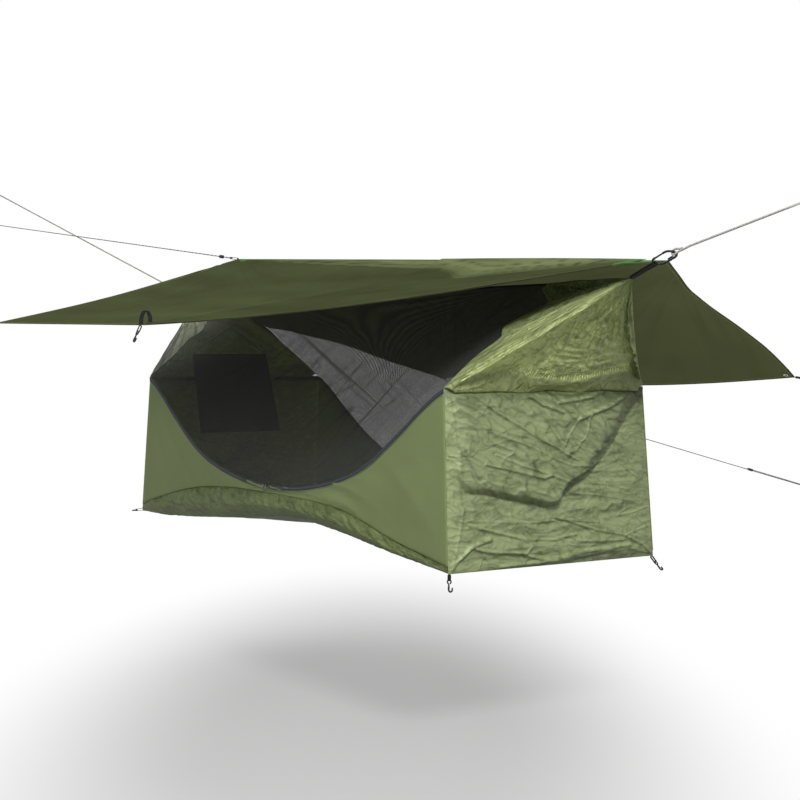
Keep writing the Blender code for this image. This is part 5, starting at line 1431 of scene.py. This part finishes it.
def fanned(x, y):
    """Soft folds of the stretched cloth, which fan out from the head tab and the foot tab."""
    total = 0
    for root, turn, height in ((FLY_HEAD, 1.0, 0.0040), (FLY_FOOT, 3.0, 0.0030)):
        reach = math.hypot(x - root.x, y - root.y)
        angle = math.atan2(y - root.y, abs(x - root.x) + 0.02)
        fade = min(reach / 0.25, 1) * math.exp(-reach / 1.1)
        total += ridged(angle * 9 * turn / 2, reach * 0.5, turn) * height * fade
        total += noise.noise(Vector((angle * 16, reach, turn * 4))) * height * 0.6 * fade
    return total


FAR_EDGE = ((0, 0), (0.06, -0.4), (0.17, -1), (0.57, 0), (0.78, 0.3), (1, 0))
FOOT_DROP = ((0, 0), (0.1, 1), (0.25, 0.93), (0.5, 0.56), (0.75, 0.31), (1, 0))
FOOT_PULL = ((0, 0), (0.1, 1), (0.25, 0.35), (0.5, 0), (1, 0))


def fold_sag(share):
    """How far the free fold between the mid tie-out and the head tab hangs below a straight."""
    return 0.021 * math.sin(math.pi * min(max(share, 0), 1) ** 0.85)


def fly_out(v):
    """Share from the ridge to the near edge, below 0, or to the far edge, above it."""
    t = 2 * v - 1
    return math.copysign(abs(t) * (0.45 + 0.55 * abs(t)), t)


def fly_place(u, v):
    """A point of the fly: u from the foot to the head, v from the near edge to the far one."""
    ridge = FLY_FOOT.lerp(FLY_HEAD, u)
    out = fly_out(v)
    if out < 0:
        out = -out
        if u <= 0.5:
            edge = FLY_NEAR_FOOT.lerp(FLY_NEAR_MID, 2 * u)
        else:
            edge = FLY_NEAR_MID.lerp(FLY_FOLD_END, 2 * u - 1)
        point = ridge.lerp(edge, out)
        point.z -= 0.014 * math.sin(math.pi * out) * max(0.0, 1 - 2 * u)
        point.z -= fold_sag(2 * u - 1) * out ** 2
        point.z -= slumped(point.x, point.y)
        point.z += fanned(point.x, point.y) * min(out / 0.06, 1) * min((1 - out) / 0.05, 1)
        return point
    point = ridge.lerp(FLY_FAR_FOOT.lerp(FLY_FAR_HEAD, u), out)
    point.z -= 0.029 * math.sin(math.pi * u ** 1.3) * out ** 2
    point.z += 0.028 * through(FAR_EDGE, out) * max(0.0, 1 - (1 - u) / 0.3)
    near_foot = max(0.0, 1 - u / 0.4) ** 2
    point.z -= 0.175 * through(FOOT_DROP, out) * near_foot
    point.x -= 0.085 * through(FOOT_PULL, out) * near_foot
    point.z += fanned(point.x, point.y) * 1.3 * min(out / 0.06, 1) * min((1 - out) / 0.05, 1)
    return point


# The lower edge of the painted highlight beside the ridge: its y at points along x.
STRIP = ((-0.952, -0.010), (-0.713, -0.013), (-0.473, -0.022), (-0.233, -0.033), (0.007, -0.041),
         (0.247, -0.053), (0.486, -0.064), (0.606, -0.098), (0.725, -0.157), (0.840, -0.117), (0.955, -0.080),
         (1.072, -0.050), (1.189, -0.026), (1.301, -0.020), (1.436, 0.016))


def fly_fold(x, y):
    """A painted highlight on the slack cloth beside the ridge, painted shade in the fine folds that fan out
    from the head tab, and random streaks.
    """
    ridge = 0.0067 * (x + 0.952)
    strip = through(STRIP, x)
    slack = ramp(y, strip - 0.006, strip + 0.006) * (1 - ramp(y, ridge + 0.01, ridge + 0.02))
    share = (ridge + 0.01 - y) / max(ridge + 0.01 - strip, 0.01)
    pleats = crease_line(x * 1.1, share * 4.2 + x * 0.4, 3.0, 6)
    angle = math.atan2(y - FLY_HEAD.y, FLY_HEAD.x + 0.05 - x)
    reach = math.hypot(x - FLY_HEAD.x, y - FLY_HEAD.y)
    fan = crease_line(angle * 9, reach * 0.9, 6.0, 7) * math.exp(-reach / 0.8) * min(reach / 0.1, 1)
    streak = noise.noise(Vector((x * 1.4 - y * 2.2, y * 7 + x * 0.6, 2.0)))
    # Painted highlight in the strip, less on its pleats and near its lower edge; outside it, painted shade in
    # the fanned folds, stronger on the far side.
    pale = -3.4 + 2.8 * pleats + 1.6 * ramp(share, 0.5, 0.8)
    return slack * pale + (1 - slack) * ((1.9 if y > ridge else 0.5) * fan - 0.5 * streak)


def hem_share(u, v):
    """1 in the bound hem, about 12 mm wide, then 0."""
    out = fly_out(v)
    along = min(u, 1 - u) * 2.35
    across = (1 - abs(out)) * (1.0 if out > 0 or u < 0.5 else 1.0 - (u - 0.5) * 1.7)
    return min(max(1.5 - min(along, across) / 0.012, 0), 1)


fly_olive, tree, shader, relief, tint = nylon_cloth(
    "fly_olive", dye(73, 78, 53), dye(66, 71, 47), 0.6, 7.0, 0.0006, gloss=0.0, through_it=0.21,
    glow=(0.80, 0.84, 0.56))
edge = wire(tree, "ShaderNodeAttribute", {"attribute_name": "mark"}).outputs["Fac"]
bound = ranged(tree, edge, 0.5, 0.6)
stitched = ranged(tree, edge, 0.30, 0.36)
tint = mixed(tree, stitched, tint, dye(128, 132, 96))
tint = mixed(tree, bound, tint, dye(38, 40, 30))
where = wire(tree, "ShaderNodeTexCoord").outputs["Object"]
for corner, size in ((FLY_HEAD + Vector((-0.060, -0.050, 0)), 0.072),
                     (FLY_FOOT + Vector((0.075, -0.01, 0)), 0.022)):
    far = wire(tree, "ShaderNodeVectorMath", {"operation": "DISTANCE"}, _0=where,
               _1=corner - HANG).outputs["Value"]
    patch = ranged(tree, far, size, size + 0.002, 1.0, 0.0)
    tint = mixed(tree, patch, tint, dye(78, 126, 72))
tree.links.new(tint, shader.inputs["Base Color"])
fly = sewn_cloth("fly_sheet", fly_place, 240, 200, (2.35, 2.02), UP, fly_olive, FLY_CLOTH, "rain_fly",
                 mark=hem_share, fold=lambda u, v: fly_fold(fly_place(u, v).x, fly_place(u, v).y))

# The near head corner of the fly is folded back over the top, to leave that door open. It is
# the same cloth, doubled along a soft fold from the tie-out to the head tab.
across = (FLY_FOLD_END - FLY_NEAR_MID).normalized()
normal = across.cross(FLY_FOOT.lerp(FLY_HEAD, 0.5) - FLY_NEAR_MID).normalized()
FOLD_ROOM = 0.0013
FOLD_START = FLY_NEAR_MID + normal * (FOLD_ROOM + FLY_CLOTH / 2)
FOLD_STOP = FLY_FOLD_END + normal * (FOLD_ROOM + FLY_CLOTH / 2)
FLAP_CORNER = Vector((0.420, 0.130, 0.880))


def hinge_y(along):
    """How far out the fold lies, at a share of the way from the mid tie-out to the head tab."""
    return min(FOLD_START.y + (FOLD_STOP.y - FOLD_START.y) * along, -0.03)


def flap_place(u, v):
    """A point of the folded corner, laid on the fly from the fold up over the ridge."""
    row = v * 11
    if row <= 8:
        y = FOLD_START.y * (1 - (0.02 + 0.98 * row / 8))
        share = (y - FOLD_START.y) / (FOLD_STOP.y - FOLD_START.y)
        hinge = FOLD_START.lerp(FOLD_STOP, min(share, 1))
        if share > 1:
            hinge = FOLD_STOP.lerp(FLY_HEAD, (share - 1) * 0.5)
    else:
        out = (row - 8) / 3
        y = FLAP_CORNER.y * out * 0.9
        hinge = FOLD_STOP.lerp(FLAP_CORNER, out * 0.96)
    left = FOLD_START.lerp(FLAP_CORNER, (y - FOLD_START.y) / (FLAP_CORNER.y - FOLD_START.y))
    right_x = hinge.x - GAP * 2
    x = left.x + (right_x - left.x) * u
    if right_x - left.x < 0.030:
        x = right_x - 0.030 * (1 - u)
    ridge = FLY_FOOT.lerp(FLY_HEAD, (x - FLY_FOOT.x) / (FLY_HEAD.x - FLY_FOOT.x))
    billow = 0.002 * min(max(1 + y / 0.5, 0), 1) ** 2 * math.sin(math.pi * u)
    if row < 8:
        z = FLY_NEAR_MID.z - (normal.x * (x - FLY_NEAR_MID.x) + normal.y * (y - FLY_NEAR_MID.y)) / normal.z
    else:
        z = ridge.z - 0.30 * y
        y += ridge.y
    along = (x - FLY_NEAR_MID.x) / (FLY_FOLD_END.x - FLY_NEAR_MID.x)
    out = min(max((y - ridge.y) / (hinge_y(along) - ridge.y), 0), 1) if row < 8 else 0
    z += fanned(x, y) * min(max(abs(y) / 0.06, 0), 1) - slumped(x, y) - fold_sag(along) * out ** 2
    return Vector((x, y, z + FOLD_ROOM + FLY_CLOTH + billow))


flap = sewn_cloth("folded_corner", flap_place, 150, 132, (1.0, 1.14), UP, fly_olive, FLY_CLOTH, "fly_flap",
                  None, mark=lambda u, v: min(max(1.5 - (1 - v) / 0.012, 0), 1),
                  fold=lambda u, v: fly_fold(flap_place(u, v).x, flap_place(u, v).y))
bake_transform(flap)


# At the mid tie-out a loop of webbing stands up from the fly's top face beside its edge,
# and the far head corner has a small pressed eyelet.
def tie_strap(u, v):
    """A point of the standing loop: u goes up one leg and down the other, v across the tape."""
    turn = math.pi * u
    base = FLY_NEAR_MID + Vector((0.006 - 0.006 * math.cos(turn), 0.012 - 0.012 * math.cos(turn), 0.002))
    base.z += 0.036 * math.sin(turn) + 0.007 * u
    return base + level * 0.012 * (v - 0.5)


sewn_cloth("tieout_strap", tie_strap, 40, 4, (0.09, 0.012), UP, webbing, 0.0016)
eyelet_white = metal_finish("eyelet", (0.75, 0.75, 0.74), 0.35)
spot = fly_place(0.985, 0.5 + 0.5 * 0.986)
tilt = (fly_place(0.97, 0.985) - spot).cross(fly_place(0.985, 0.97) - spot).normalized()
side = ALONG - tilt * tilt.x
side.normalize()
other = tilt.cross(side)
ring = [spot + (side * math.cos(a) + other * math.sin(a)) * 0.0062
        for a in [2 * math.pi * n / 32 for n in range(32)]]
swept_rod("corner_eyelet", ring, 0.0020, eyelet_white, sides=12, closed=True)
